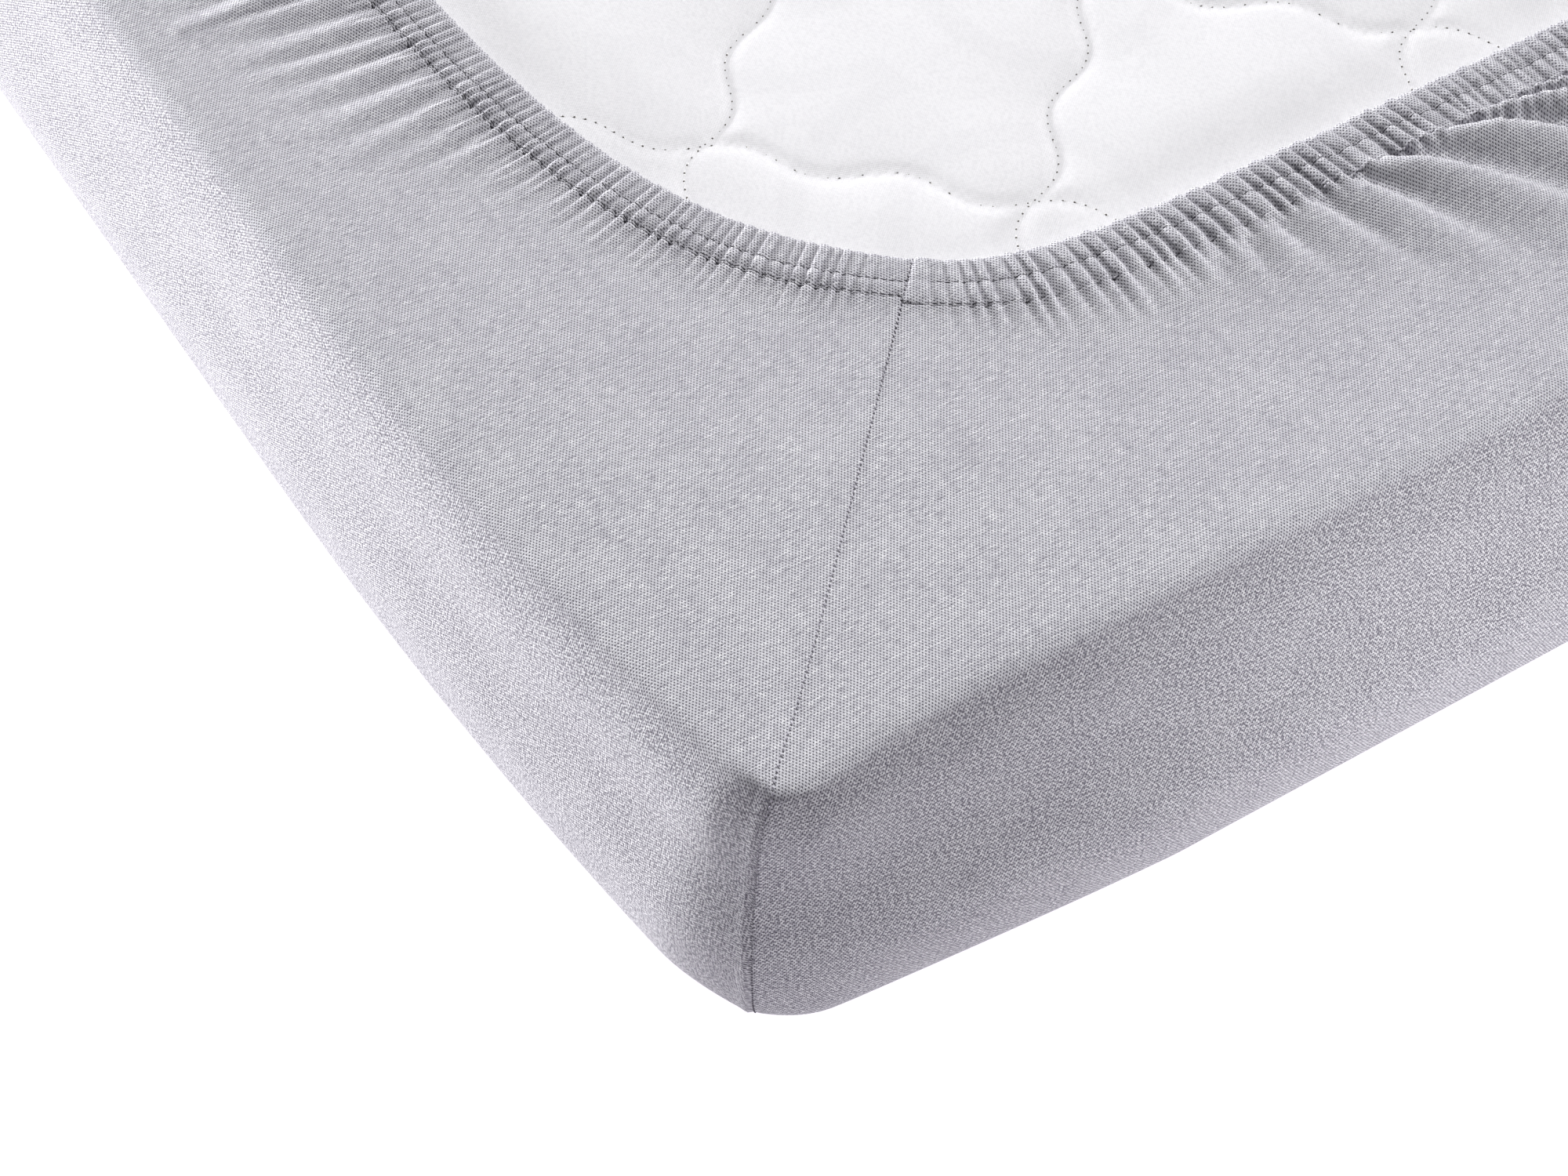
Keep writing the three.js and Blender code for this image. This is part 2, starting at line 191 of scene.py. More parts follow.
@dataclass(frozen=True)
class Plan:
    """Where the cloth lies, seen from above. Sides run anticlockwise from the front left corner."""

    width: float = 900.0
    length: float = 2000.0
    bulge_height: float = 52.0
    flank_bow: float = 17.0
    bow_power: float = 1.15
    bow_on_floor: float = 0.6  # share of the bow that is left at the floor
    fan_reach: float = 410.0
    corner_bump: float = 6.0
    corner_bump_spread: float = 34.0
    cut_reach: float = 60.0
    sides: tuple[Edge, ...] = (Edge.END, Edge.FLANK, Edge.END, Edge.FLANK)
    # Free edge of the hem: inset in the middle of a side, more at the seam, and the fade's reach.
    hem_far: dict = by_edge(179.0, 140.0)
    hem_gain: dict = by_edge(27.0, 89.0)
    hem_reach: dict = by_edge(32.0, 70.0)
    pull_reach: dict = by_edge(180.0, 330.0)
    pull_power: dict = by_edge(1.2, 2.2)
    round_power: float = 2.1  # how a rounded corner reaches the seam: 2 is close to a circle
    chamfer_power: float = 1.3  # the upper part of an end runs almost straight to the seam
    chamfer_stretch: float = 0.5  # and starts this much further from it
    chamfer_from: float = 14.0  # height where it starts, and the rise that it takes
    chamfer_rise: float = 60.0
    flank_power: float = 1.7  # a flank turns towards the seam over a longer way
    flank_stretch: float = 0.45
    flank_share: float = 0.78  # the part of a flank's corner that is rounded, the rest is drawn in

    def box_length(self, side: int) -> float:
        """The length of the outer box along a side."""
        return self.width if self.sides[side] is Edge.END else self.length

    def turn(self, side: int) -> float:
        """The sign that turns the two later sides onto the two first."""
        return 1.0 if side < 2 else -1.0

    def place(self, side: int, along: np.ndarray, inset: np.ndarray) -> np.ndarray:
        """Turns places on a side into points.

        Args:
            side: Number of the side.
            along: Distances from the outer box's corner along the side.
            inset: Distances inside the box.

        Returns:
            An array of x and y.
        """
        half_x, half_y = self.width / 2, self.length / 2
        if self.sides[side] is Edge.END:
            x, y = along - half_x, inset - half_y
        else:
            x, y = half_x - inset, along - half_y
        return self.turn(side) * np.stack(np.broadcast_arrays(x, y), axis=-1)

    def along_inset(self, side: int, points: np.ndarray) -> tuple[np.ndarray, np.ndarray]:
        """The distances along and inside a side of points in plan."""
        half_x, half_y = self.width / 2, self.length / 2
        x, y = self.turn(side) * points[..., 0], self.turn(side) * points[..., 1]
        if self.sides[side] is Edge.END:
            return x + half_x, y + half_y
        return y + half_y, half_x - x

    def bow_left(self, row: Row, distance: np.ndarray) -> np.ndarray:
        """The part of a flank's bow that is still missing at a distance from the corner."""
        slack = clamp01((TOP - row.z) / (TOP - self.bulge_height))
        slack = slack * clamp01(row.z / self.bulge_height + self.bow_on_floor)
        left = np.maximum(0, 1 - distance / (self.length / 2)) ** self.bow_power
        return self.flank_bow * slack * left

    def corner_inset(self, row: Row, edge: Edge) -> float:
        """A row's inset from the box at the corners."""
        if edge is Edge.END:
            return row.end + row.pull_end
        return row.flank + row.pull_flank + float(self.bow_left(row, np.array(0.0)))

    def other(self, side: int) -> Edge:
        """The kind of side that this side meets at its corners."""
        return Edge.FLANK if self.sides[side] is Edge.END else Edge.END

    def corner_along(self, row: Row, side: int) -> float:
        """Where a row turns its corner, as a distance along the side."""
        return self.corner_inset(row, self.other(side)) + row.radius * (1 - math.sqrt(0.5))

    def row_inset(self, row: Row, side: int, along: np.ndarray) -> np.ndarray:
        """A row's inset from the box, with its rounded and drawn-in corners."""
        edge = self.sides[side]
        from_end = np.minimum(along, self.box_length(side) - along)
        corner = self.corner_inset(row, self.other(side))
        distance = np.maximum(0, from_end - corner)
        own = row.end if edge is Edge.END else row.flank + self.bow_left(row, distance)
        pull = row.pull_end if edge is Edge.END else row.pull_flank
        fade = np.maximum(0, 1 - distance / self.pull_reach[edge]) ** self.pull_power[edge]
        centre = corner + row.radius
        depth = row.radius * (1 - math.sqrt(0.5))
        run = row.radius * math.sqrt(0.5)
        if edge is Edge.FLANK:
            stretch, power, share = self.flank_stretch, self.flank_power, self.flank_share
        else:
            upper = float(clamp01((row.z - self.chamfer_from) / self.chamfer_rise))
            stretch, share = self.chamfer_stretch * upper, 1.0
            power = self.round_power + (self.chamfer_power - self.round_power) * upper
        long_run = run * (1 + stretch)
        short = clamp01((centre - run + long_run - from_end) / long_run)
        inset = own + (pull + depth * (1 - share)) * fade + depth * share * short**power
        if edge is Edge.FLANK:
            return inset
        height = clamp01((row.z - self.bulge_height) / (TOP - self.bulge_height))
        bump = np.exp(-(((from_end - centre) / self.corner_bump_spread) ** 2))
        return inset - self.corner_bump * height * bump

    def hem_corner(self, side: int) -> float:
        """Distance from the box's corner to the hem's corner, along the side."""
        cross = self.other(side)
        return self.hem_far[cross] + self.hem_gain[cross]

    def hem_inset(self, side: int, along: np.ndarray) -> np.ndarray:
        """Inset of the hem's free edge from the box."""
        edge = self.sides[side]
        from_end = np.minimum(along, self.box_length(side) - along)
        past = np.maximum(0, from_end - self.hem_corner(side))
        return self.hem_far[edge] + self.hem_gain[edge] * np.exp(-past / self.hem_reach[edge])

    def hem_along(self, side: int, t: np.ndarray) -> np.ndarray:
        """Where the column at place t, from 0 to 1 between the edge's corners, meets the hem."""
        start = self.corner_along(SECTION[1], side)
        span = self.box_length(side) - 2 * start
        shift = self.hem_corner(side) - start
        near_start = clamp01(1 - span * t / self.fan_reach)
        near_end = clamp01(1 - span * (1 - t) / self.fan_reach)
        return start + span * t + shift * (near_start**2 - near_end**2)

    def place_of_hem(self, side: int, along: np.ndarray) -> np.ndarray:
        """The place t whose column meets the hem at these distances along the side."""
        t = np.linspace(0, 1, 8001)
        return np.interp(along, self.hem_along(side, t), t)

    def row_points(self, row: Row, side: int, t: np.ndarray, depth: float = 0.0) -> np.ndarray:
        """A row's points, moved inwards from the outside of the cloth by a depth."""
        angle = math.radians(row.lean)
        inwards = depth * math.cos(angle)
        start = self.corner_along(row, side)
        along = start + (self.box_length(side) - 2 * start) * t
        reach = self.cut_reach / self.box_length(side)
        cut = inwards * (clamp01(1 - t / reach) - clamp01(1 - (1 - t) / reach))
        flat = self.place(side, along + cut, self.row_inset(row, side, along) + inwards)
        z = np.full(len(t), row.z - depth * math.sin(angle))
        return np.column_stack([flat, z])

    def row_ring(self, row: Row, t: list[np.ndarray], depth: float = 0.0) -> Ring:
        """A row's points on all four sides."""
        return ring_of([self.row_points(row, i, t[i], depth) for i in range(4)], t)


PLAN = Plan()
SEEN_STARTS, SEEN_ENDS = {0}, {3}  # the front left corner is the start of side 0, the end of side 3


# ---- Rings and closed bodies -----------------------------------------------------------
@dataclass
class Ring:
    """A closed line of points round the object, `place` rising by 1 from corner to corner."""

    points: np.ndarray
    place: np.ndarray
    spread: np.ndarray | float = 0.0  # developed distance beyond the tuck, across and along
    anchor: np.ndarray | None = None  # plan points that it starts from, here if there are none
    start: int = 0

    def __post_init__(self) -> None:
        """Fills in the developed distance of a ring that lies flat."""
        self.spread = np.broadcast_to(self.spread, (len(self.points), 2))
        if self.anchor is None:
            self.anchor = self.points[:, :2].copy()

    def at_corner(self, corner: int) -> np.ndarray:
        """The ring's point on a corner's seam."""
        return self.points[np.flatnonzero(self.place == corner)[0]]


def ring_of(points: list[np.ndarray], t: list[np.ndarray]) -> Ring:
    """Joins the four sides' points, without each side's last one, into a flat ring."""
    all_points = np.concatenate([p[:-1] for p in points])
    place = np.concatenate([i + values[:-1] for i, values in enumerate(t)])
    return Ring(all_points, place)


class Body:
    """Gathers rings and faces into one mesh, and remembers which side each face hangs on."""

    def __init__(self) -> None:
        """Starts with no rings."""
        self.rings: list[Ring] = []
        self.faces: list[tuple[int, ...]] = []
        self.sides: list[int] = []
        self.flat: list[bool] = []
        self.count = 0

    def add(self, ring: Ring) -> Ring:
        """Takes in a ring's points and notes where they start."""
        ring.start = self.count
        self.count += len(ring.points)
        self.rings.append(ring)
        return ring

    def strip(self, a: Ring, b: Ring, flat: bool = False) -> None:
        """Joins two rings that have the same columns."""
        count = len(a.points)
        index = np.arange(count)
        following = (index + 1) % count
        left, right = index[:, None], following[:, None]
        quads = np.hstack([a.start + left, b.start + left, b.start + right, a.start + right])
        self.faces.extend(map(tuple, quads.tolist()))
        self.sides.extend(a.place.astype(int).tolist())
        self.flat.extend([flat] * count)

    def zipper(self, a: Ring, b: Ring, flat: bool = False) -> None:
        """Joins two rings with different columns, always stepping along the one that lags."""
        places_a = np.append(a.place, a.place[0] + 4).tolist()
        places_b = np.append(b.place, b.place[0] + 4).tolist()
        i = j = 0
        count_a, count_b = len(a.points), len(b.points)
        while i < count_a or j < count_b:
            step_b = i >= count_a or (j < count_b and places_b[j + 1] <= places_a[i + 1] + 1e-9)
            side = int(min(places_a[i], places_b[j]) + 1e-9) % 4
            corner_a, corner_b = a.start + i % count_a, b.start + j % count_b
            if step_b:
                j += 1
                self.faces.append((corner_a, corner_b, b.start + j % count_b))
            else:
                i += 1
                self.faces.append((corner_a, corner_b, a.start + i % count_a))
            self.sides.append(side)
            self.flat.append(flat)

    def join(self, a: Ring, b: Ring, flat: bool = False) -> None:
        """Joins two rings in the way that suits their columns."""
        same = len(a.place) == len(b.place) and np.allclose(a.place, b.place)
        (self.strip if same else self.zipper)(a, b, flat)

    def join_all(self, rings: list[Ring]) -> None:
        """Joins each ring to the next one."""
        for a, b in zip(rings[:-1], rings[1:]):
            self.join(a, b)

    def cap(self, ring: Ring, outwards: bool) -> None:
        """Closes a ring by a fan to its middle, which follows the ring in the mesh."""
        centre = np.array([[0.0, 0.0, ring.points[0, 2]]])
        middle = self.add(Ring(centre, np.zeros(1)))
        count = len(ring.points)
        for i in range(count):
            here, after = ring.start + i, ring.start + (i + 1) % count
            face = (here, middle.start, after) if outwards else (middle.start, here, after)
            self.faces.append(face)
            self.sides.append(int(ring.place[i]))
            self.flat.append(False)

    def mesh(self, name: str, relief: np.ndarray | None = None) -> bpy.types.Object:
        """Makes the object, its relief moved out along the normals, with the cloth's own UV map.

        Args:
            name: The object's name.
            relief: How far each point moves out, in millimetres.

        Returns:
            The new object, in metres.
        """
        points = np.concatenate([ring.points for ring in self.rings])
        mesh = bpy.data.meshes.new(name)
        mesh.from_pydata((points * MM).tolist(), [], self.faces)
        if relief is not None:
            normals = np.empty(len(points) * 3)
            mesh.vertices.foreach_get("normal", normals)
            points = points + normals.reshape(-1, 3) * relief[:, None]
            mesh.vertices.foreach_set("co", (points * MM).ravel())
        mesh.polygons.foreach_set("use_smooth", [not flat for flat in self.flat])
        self._lay_out(mesh, points)
        mesh.update()
        return linked(name, mesh)

    def _lay_out(self, mesh: bpy.types.Mesh, points: np.ndarray) -> None:
        """Writes the cloth's flat coordinates, in metres, as the UV map `cloth`."""
        anchor = np.concatenate([ring.anchor for ring in self.rings])
        spread = np.concatenate([ring.spread for ring in self.rings])
        corners = np.empty(len(mesh.loops), dtype=int)
        mesh.loops.foreach_get("vertex_index", corners)
        sizes = np.array([len(face) for face in self.faces])
        side = np.repeat(np.array(self.sides), sizes)
        sign = np.array([-1.0, 1.0, 1.0, -1.0])[side]
        end = side % 2 == 0
        u = np.where(end, points[corners, 0], anchor[corners, 0] + sign * spread[corners, 0])
        v = np.where(end, anchor[corners, 1] + sign * spread[corners, 1], points[corners, 1])
        layer = mesh.uv_layers.new(name="cloth")
        layer.data.foreach_set("uv", (np.column_stack([u, v]) * MM).ravel())


# ---- The gathers -----------------------------------------------------------------------
@dataclass(frozen=True)
class Gather:
    """A soft fold of cloth that starts at the hem's outer stitch row.

    `place` is where its crest starts, from the corner of the outer box along the side, `lean` how
    the crest runs off sideways on its way out, `sweep` how much more it turns aside beside the hem,
    `length` how far out the fold reaches and `height` how high it stands.
    """

    place: float
    lean: float
    sweep: float
    length: float
    height: float
    sweep_reach: ClassVar[float] = 11.0

    def crest(self, out: np.ndarray) -> np.ndarray:
        """Where the crest is at distances out from the hem."""
        turned = 1 - np.exp(-out / self.sweep_reach)
        return self.place + self.lean * out + self.sweep * turned


FRONT_GATHERS = [
    Gather(262, -0.15, 0, 10, 0.0),
    Gather(278, -0.15, 0, 16, 0.7),
    Gather(292, -0.15, 0, 20, 0.9),
    Gather(306, -0.15, 0, 24, 1.2),
    Gather(321, -0.15, 0, 28, 1.4),
    Gather(336, -0.17, 0, 36, 1.8),
    Gather(348, 0.1, 0, 50, 2.6),
    Gather(367, 0.3, 0, 62, 3.6),
    Gather(386, 0.33, 4.5, 84, 5.8),
    Gather(403, 0.7, 9, 100, 8.6),
    Gather(430, 0.7, 25, 108, 9.8),
    Gather(455, 0.7, 36, 110, 10.0),
    Gather(478, 0.75, 38, 108, 9.6),
    Gather(500, 0.75, 36, 102, 9.2),
    Gather(521, 0.7, 32, 96, 8.4),
    Gather(542, 0.65, 26, 88, 7.6),
    Gather(562, 0.6, 20, 80, 6.6),
    Gather(582, 0.5, 13, 68, 4.6),
    Gather(602, 0.35, 7, 54, 3.6),
    Gather(621, 0.2, 2, 42, 2.6),
    Gather(639, 0.1, 0, 30, 1.6),
    Gather(656, 0.0, 0, 10, 0.0),
]
# From the front left corner backwards.
LEFT_GATHERS = [
    Gather(264, -0.4, 0, 10, 0.0),
    Gather(284, -0.3, 0, 22, 0.8),
    Gather(302, -0.15, 0, 24, 0.8),
    Gather(313, -0.1, 0, 28, 0.9),
    Gather(324, -0.1, 0, 32, 1.1),
    Gather(341, -0.08, 0, 46, 1.7),
    Gather(354, -0.1, 0, 52, 1.8),
    Gather(368, -0.1, 0, 64, 2.4),
    Gather(380, 0.05, 0, 66, 2.8),
    Gather(398, 0.08, 0, 66, 2.8),
    Gather(409, 0.17, 0, 72, 2.6),
    Gather(424, 0.13, 0, 72, 3.0),
    Gather(441, 0.2, 0, 76, 3.6),
]


def gathers_beyond(
    first: float, last: float, pitch: float, height: float, seed: int
) -> list[Gather]:
    """Gathers that the elastic makes along the rest of a side.

    Args:
        first: Where the first one starts.
        last: Where they end.
        pitch: Mean distance from one to the next.
        height: Mean height.
        seed: Seed of their unevenness.

    Returns:
        The gathers, fading out over the last 150 mm.
    """
    rng = np.random.default_rng(seed)
    gathers = []
    place = first
    while place < last:
        left = float(smooth(np.array((last - place) / 150)))
        tall = height * (0.25 + 0.75 * left) * rng.uniform(0.7, 1.25)
        length = 20 + 50 * left + 6 * tall
        gathers.append(Gather(place, rng.uniform(-0.12, 0.12), 0, length, tall))
        place += pitch * rng.uniform(0.75, 1.3)
    gathers.append(Gather(last + 4, 0.0, 0, 10, 0.0))
    return gathers


@dataclass(frozen=True)
class Puckers:
    """The fine puckers that the elastic draws up in the hem, counted from a corner seam."""

    pitch: float
    height: float
    start_pitch: float
    seed: int
    skip: float = 10.0
    ramp: float = 60.0
    lean: float = 0.0
    inner: float = 0.55  # share of the height on the stitch rows
    short_past: float = 1000.0  # past this place they end just outside the hem
    short_over: ClassVar[float] = 50.0
    shortening: ClassVar[float] = 0.72
    uneven_pitch: ClassVar[tuple[float, float]] = (0.72, 1.28)
    uneven_height: ClassVar[tuple[float, float]] = (0.65, 1.3)
    edge_share: float = 1.0  # share of the height between the free edge and the inner row

    def valleys(self, length: float) -> np.ndarray:
        """The places of the valleys from the seam to a length."""
        rng = np.random.default_rng(self.seed)
        places = [self.skip * 0.5]
        while places[-1] < length + self.pitch:
            grown = min(1.0, places[-1] / self.ramp)
            pitch = self.start_pitch + (self.pitch - self.start_pitch) * grown
            places.append(places[-1] + pitch * rng.uniform(*self.uneven_pitch))
        return np.array(places)

    def tallness(self, count: int) -> np.ndarray:
        """How high each pucker stands, as a share of the mean."""
        return np.random.default_rng(self.seed + 100).uniform(*self.uneven_height, count)

    def growth(self, s: np.ndarray) -> np.ndarray:
        """How far the puckers have grown at distances from the seam, from 0 to 1."""
        return smooth((s - self.skip * 0.3) / self.ramp) * 0.7 + 0.3 * smooth(s / self.skip)

    def fade(self, s: np.ndarray) -> np.ndarray:
        """How far past the hem the puckers run out."""
        shorter = 1 - self.shortening * smooth((s - self.short_past) / self.short_over)
        return (8.0 + 5.0 * self.height) * shorter


def tubes(share: np.ndarray, roundness: float = 0.8, skew: float = 1.3) -> np.ndarray:
    """The height of a soft tube over its width, 0 at the valleys, its crest away from the seam."""
    return np.maximum(0.0, np.sin(np.pi * clamp01(share) ** skew)) ** roundness


@dataclass(frozen=True)
class HemSizes:
    """The turned hem: distances from its free edge."""

    width: dict = by_edge(25.0, 22.5)
    stitch_row: dict = by_edge(13.0, 14.0)
    outer_row_inset: float = 1.3  # the outer stitch row lies this far inside the hem's outer edge
    lift: float = 1.9
    thick: float = 2.9


HEM = HemSizes()


class HemSide:
    """The hem and the gathered cloth along one side, as columns that start on the free edge."""

    blend: float = 24.0  # how far from a seam the columns turn from the seam's line to square
    drawn_in: float = 0.09  # the hem is this much narrower at a seam
    drawn_in_reach: float = 26.0
    fall: ClassVar[dict] = {Edge.END: 0.3, Edge.FLANK: 0.45}  # share from a crest to its valley
    steep: float = 0.85  # how full a gather's steep and gentle flanks are, by their power
    gentle: float = 1.25
    hem_share: float = 0.12  # share of the gathers' height that goes on into the hem
    pucker_span: float = 5.0  # a fine pucker's width, over which its valleys are told
    deep: float = 0.75  # a valley this far below the cloth around it is full depth
    plain_step: float = 1.6  # spacing of the columns
    front_step: float = 0.85
    left_step: float = 0.72
    left_reach: float = 300.0  # the left side's fine columns end here
    edge_round: float = 4.0  # the free edge swells over this far

    def __init__(self, side: int, gathers: list[Gather], ends: tuple[Puckers, Puckers]) -> None:
        """Lays out the side's columns.

        Args:
            side: Number of the side.
            gathers: The side's gathers.
            ends: The puckers counted from its first and from its last seam.
        """
        self.side = side
        self.edge = PLAN.sides[side]
        self.gathers = gathers
        self.ends = ends
        self.width = HEM.width[self.edge]
        self.row = HEM.stitch_row[self.edge]
        corner, box = PLAN.hem_corner(side), PLAN.box_length(side)
        along = np.linspace(corner, box - corner, 12001)
        line = PLAN.place(side, along, PLAN.hem_inset(side, along))
        arc = np.concatenate([[0], np.cumsum(np.hypot(*np.diff(line, axis=0).T))])
        self.length = float(arc[-1])
        self.s = graded(self.length, self._spacing)
        self.along = np.interp(self.s, arc, along)
        self.t = PLAN.place_of_hem(side, self.along)
        self.t[0], self.t[-1] = 0.0, 1.0
        self.hem = PLAN.place(side, self.along, PLAN.hem_inset(side, self.along))
        tangent = np.column_stack(
            [np.interp(self.s, arc, np.gradient(line[:, axis], arc)) for axis in (0, 1)]
        )
        normal = np.column_stack([tangent[:, 1], -tangent[:, 0]])
        tuck = SECTION[0]
        start = PLAN.corner_along(tuck, side)
        across = start + (box - 2 * start) * self.t
        self.tuck = PLAN.place(side, across, PLAN.row_inset(tuck, side, across))
        run = self.tuck - self.hem
        self.run = np.hypot(*run.T)
        near = np.minimum(self.s, self.length - self.s)
        share = np.exp(-((near / self.blend) ** 2))[:, None]
        heading = normal * (1 - share) + run / self.run[:, None] * share
        self.heading = heading / np.hypot(*heading.T)[:, None]
        outer = self.plan_points(self.width)
        outer_along, outer_inset = PLAN.along_inset(side, outer)
        order = np.argsort(outer_along)
        self.outer_along, self.outer_inset = outer_along[order], outer_inset[order]

    def _spacing(self, s: np.ndarray) -> np.ndarray:
        """The spacing of the columns: finest beside the seen corner."""
        if self.side in SEEN_STARTS:
            return np.full_like(s, self.front_step)
        if self.side in SEEN_ENDS:
            return np.where(s > self.length - self.left_reach, self.left_step, self.plain_step)
        return np.full_like(s, self.plain_step)

    def reach_at(self, inner: float, outer: float) -> float:
        """A reach from shares of the ways to the inner stitch row and on to the outer edge."""
        return self.row * inner + (self.width - self.row) * outer

    def plan_points(self, reach: np.ndarray | float) -> np.ndarray:
        """Points at a reach out from the free edge, one for each column."""
        near = np.minimum(self.s, self.length - self.s)
        reach = reach * (1 - self.drawn_in * np.exp(-((near / self.drawn_in_reach) ** 2)))
        share = (reach / self.run)[:, None]
        turn = self.tuck - self.hem - self.heading * self.run[:, None]
        return self.hem + self.heading * reach[:, None] + turn * share**2

    def fine(self, reach: np.ndarray | float) -> np.ndarray:
        """The height of the fine puckers."""
        total = np.zeros(len(self.s))
        for puckers, s in zip(self.ends, (self.s, self.length - self.s)):
            mine = s <= self.length / 2
            across = s + puckers.lean * (self.width - reach)
            total = np.where(mine, self._pucker_height(puckers, across, s, reach), total)
        return total

    def hollow(self, reach: np.ndarray | float) -> np.ndarray:
        """How deep each column lies between the fine puckers beside it, from 0 to 1."""
        height = self.fine(reach)
        places = np.arange(0.0, self.length, self.pucker_span / 10)
        around = np.convolve(np.interp(places, self.s, height), np.full(11, 1 / 11), mode="same")
        return clamp01((np.interp(self.s, places, around) - height) / self.deep)

    def _pucker_height(
        self, puckers: Puckers, across: np.ndarray, s: np.ndarray, reach: np.ndarray | float
    ) -> np.ndarray:
        """The height of one seam's puckers at places counted from it."""
        valleys = puckers.valleys(self.length / 2 + 20)
        index = np.clip(np.searchsorted(valleys, across) - 1, 0, len(valleys) - 2)
        share = (across - valleys[index]) / (valleys[index + 1] - valleys[index])
        tall = puckers.tallness(len(valleys))[index]
        height = puckers.height * tall * puckers.growth(s) * tubes(share)
        return height * self._across(puckers, s, reach)

    def _across(self, puckers: Puckers, s: np.ndarray, reach: np.ndarray | float) -> np.ndarray:
        """How the puckers swell and are pinched on the way across the hem."""
        row, width = self.row, self.width
        low = puckers.inner
        places = [0, 2.5, row - 3.5, row - 1, row, row + 1, row + 4, width - 3, width - 1.3, width]
        edge = puckers.edge_share
        shares = [0.55 * edge, edge, edge, low + 0.15, low, low + 0.15, 1.0, 1.0, low, low]
        inside = np.interp(reach, places, shares)
        past = (reach - width) / puckers.fade(s)
        past = np.interp(past, [0, 0.12, 0.5, 1], [low, 0.7, 0.35, 0])
        return np.where(reach > width, past, inside)

    def coarse(self, points: np.ndarray, reach: np.ndarray | float) -> np.ndarray:
        """The height of the gathers at points in plan, one for each column."""
        along, inset = PLAN.along_inset(self.side, points)
        line = np.interp(along, self.outer_along, self.outer_inset)
        if self.side in SEEN_ENDS:  # its gathers are counted from the seen corner too
            along = PLAN.box_length(self.side) - along
        out = np.maximum(0.0, line - inset)
        total = np.zeros(len(along))
        fall = self.fall[self.edge]
        for here, after in zip(self.gathers[:-1], self.gathers[1:]):
            start = here.crest(out)
            share = (along - start) / np.maximum(after.crest(out) - start, 1.0)
            down = here.height * self._flank_of(here, out, 1 - share / fall, self.steep)
            rise = (share - fall) / (1 - fall)
            up = after.height * self._flank_of(after, out, rise, self.gentle)
            inside = (share >= 0) & (share < 1)
            total = np.where(inside, np.where(share < fall, down, up), total)
        ramp = smooth((reach - 0.7 * self.width) / (0.3 * self.width + 11.0))
        on_hem = self.hem_share + (1 - self.hem_share) * ramp
        return total * on_hem * smooth(reach / (0.6 * self.width))

    @staticmethod
    def _flank_of(gather: Gather, out: np.ndarray, share: np.ndarray, power: float) -> np.ndarray:
        """A gather's height as a share, from 0 in the valley to 1 on its crest."""
        gone = clamp01(out / gather.length)
        return np.sin(0.5 * np.pi * clamp01(share)) ** (power + 0.6 * gone) * (1 - smooth(gone))

    def lift(self, reach: np.ndarray | float) -> np.ndarray:
        """How far the hem's face stands over the flat cloth, pinched at its stitch rows."""
        row, width = self.row, self.width
        places = [0, 0.5, 1.4, 3.5, row - 3, row, row + 3, width - 4, width - 1.3, width, width + 4]
        share = [0.45, 0.75, 0.92, 1.0, 1.0, 0.78, 0.88, 0.75, 0.4, 0.3, 0.0]
        return HEM.lift * np.interp(reach, places, share)

    def face(self, reach: np.ndarray | float) -> np.ndarray:
        """The cloth's outside at a reach from the free edge, one point for each column."""
        points = self.plan_points(reach)
        fine = self.fine(reach)
        coarse = self.coarse(points, reach)
        z = TOP + self.lift(reach) + fine + coarse
        near_edge = np.exp(-reach / self.edge_round)
        points = points + self.heading * ((0.5 - 0.45 * fine) * near_edge)[:, None]
        return np.column_stack([points, z])


# Gives a side's reach out from the free edge: one for all its columns, or one for each.
Reach = Callable[[HemSide], np.ndarray | float]


class Gathered:
    """The four gathered sides together."""

    def __init__(self) -> None:
        """Sets out each side's gathers and puckers."""
        front = Puckers(6.6, 2.7, 5.2, seed=11, ramp=70.0, lean=0.16, inner=0.8, short_past=85.0)
        front_far = Puckers(5.6, 1.9, 5.0, seed=12)
        left = Puckers(4.6, 1.8, 4.4, seed=13, skip=12.0, ramp=20.0, inner=0.7, edge_share=0.7)
        other = Puckers(6.6, 1.7, 5.4, seed=14)
        back = Puckers(6.4, 1.8, 5.4, seed=15)
        far = PLAN.length - 250
        left_more = gathers_beyond(457, far, 16, 3.3, seed=21)
        self.sides = [
            HemSide(0, FRONT_GATHERS, (front, front_far)),
            HemSide(1, gathers_beyond(262, far, 18, 3.2, seed=22), (other, other)),
            HemSide(2, gathers_beyond(286, 640, 19, 3.4, seed=23), (back, back)),
            HemSide(3, LEFT_GATHERS + left_more, (other, left)),
        ]

    def ring(self, reach: Reach, every: int = 1) -> Ring:
        """A ring over all four sides.

        Args:
            reach: Gives a side's reach out from the free edge.
            every: Take every so many columns.

        Returns:
            The ring.
        """
        points = [side.face(reach(side))[::every] for side in self.sides]
        return ring_of(points, [side.t[::every] for side in self.sides])

    def hollow(self, reach: Reach) -> np.ndarray:
        """How deep each point of a ring with every column lies between the fine puckers."""
        return np.concatenate([side.hollow(reach(side))[:-1] for side in self.sides])


def write_hollow(piece: bpy.types.Object, first: int, values: list[np.ndarray]) -> None:
    """Writes how deep points lie between the puckers, for rings that start at a first point: the
    mask of the jersey's painted shade.
    """
    depth = np.concatenate([np.zeros(first), *values])
    depth = np.pad(depth, (0, len(piece.data.vertices) - len(depth)))
    piece.data.attributes.new("hollow", "FLOAT", "POINT").data.foreach_set("value", depth)


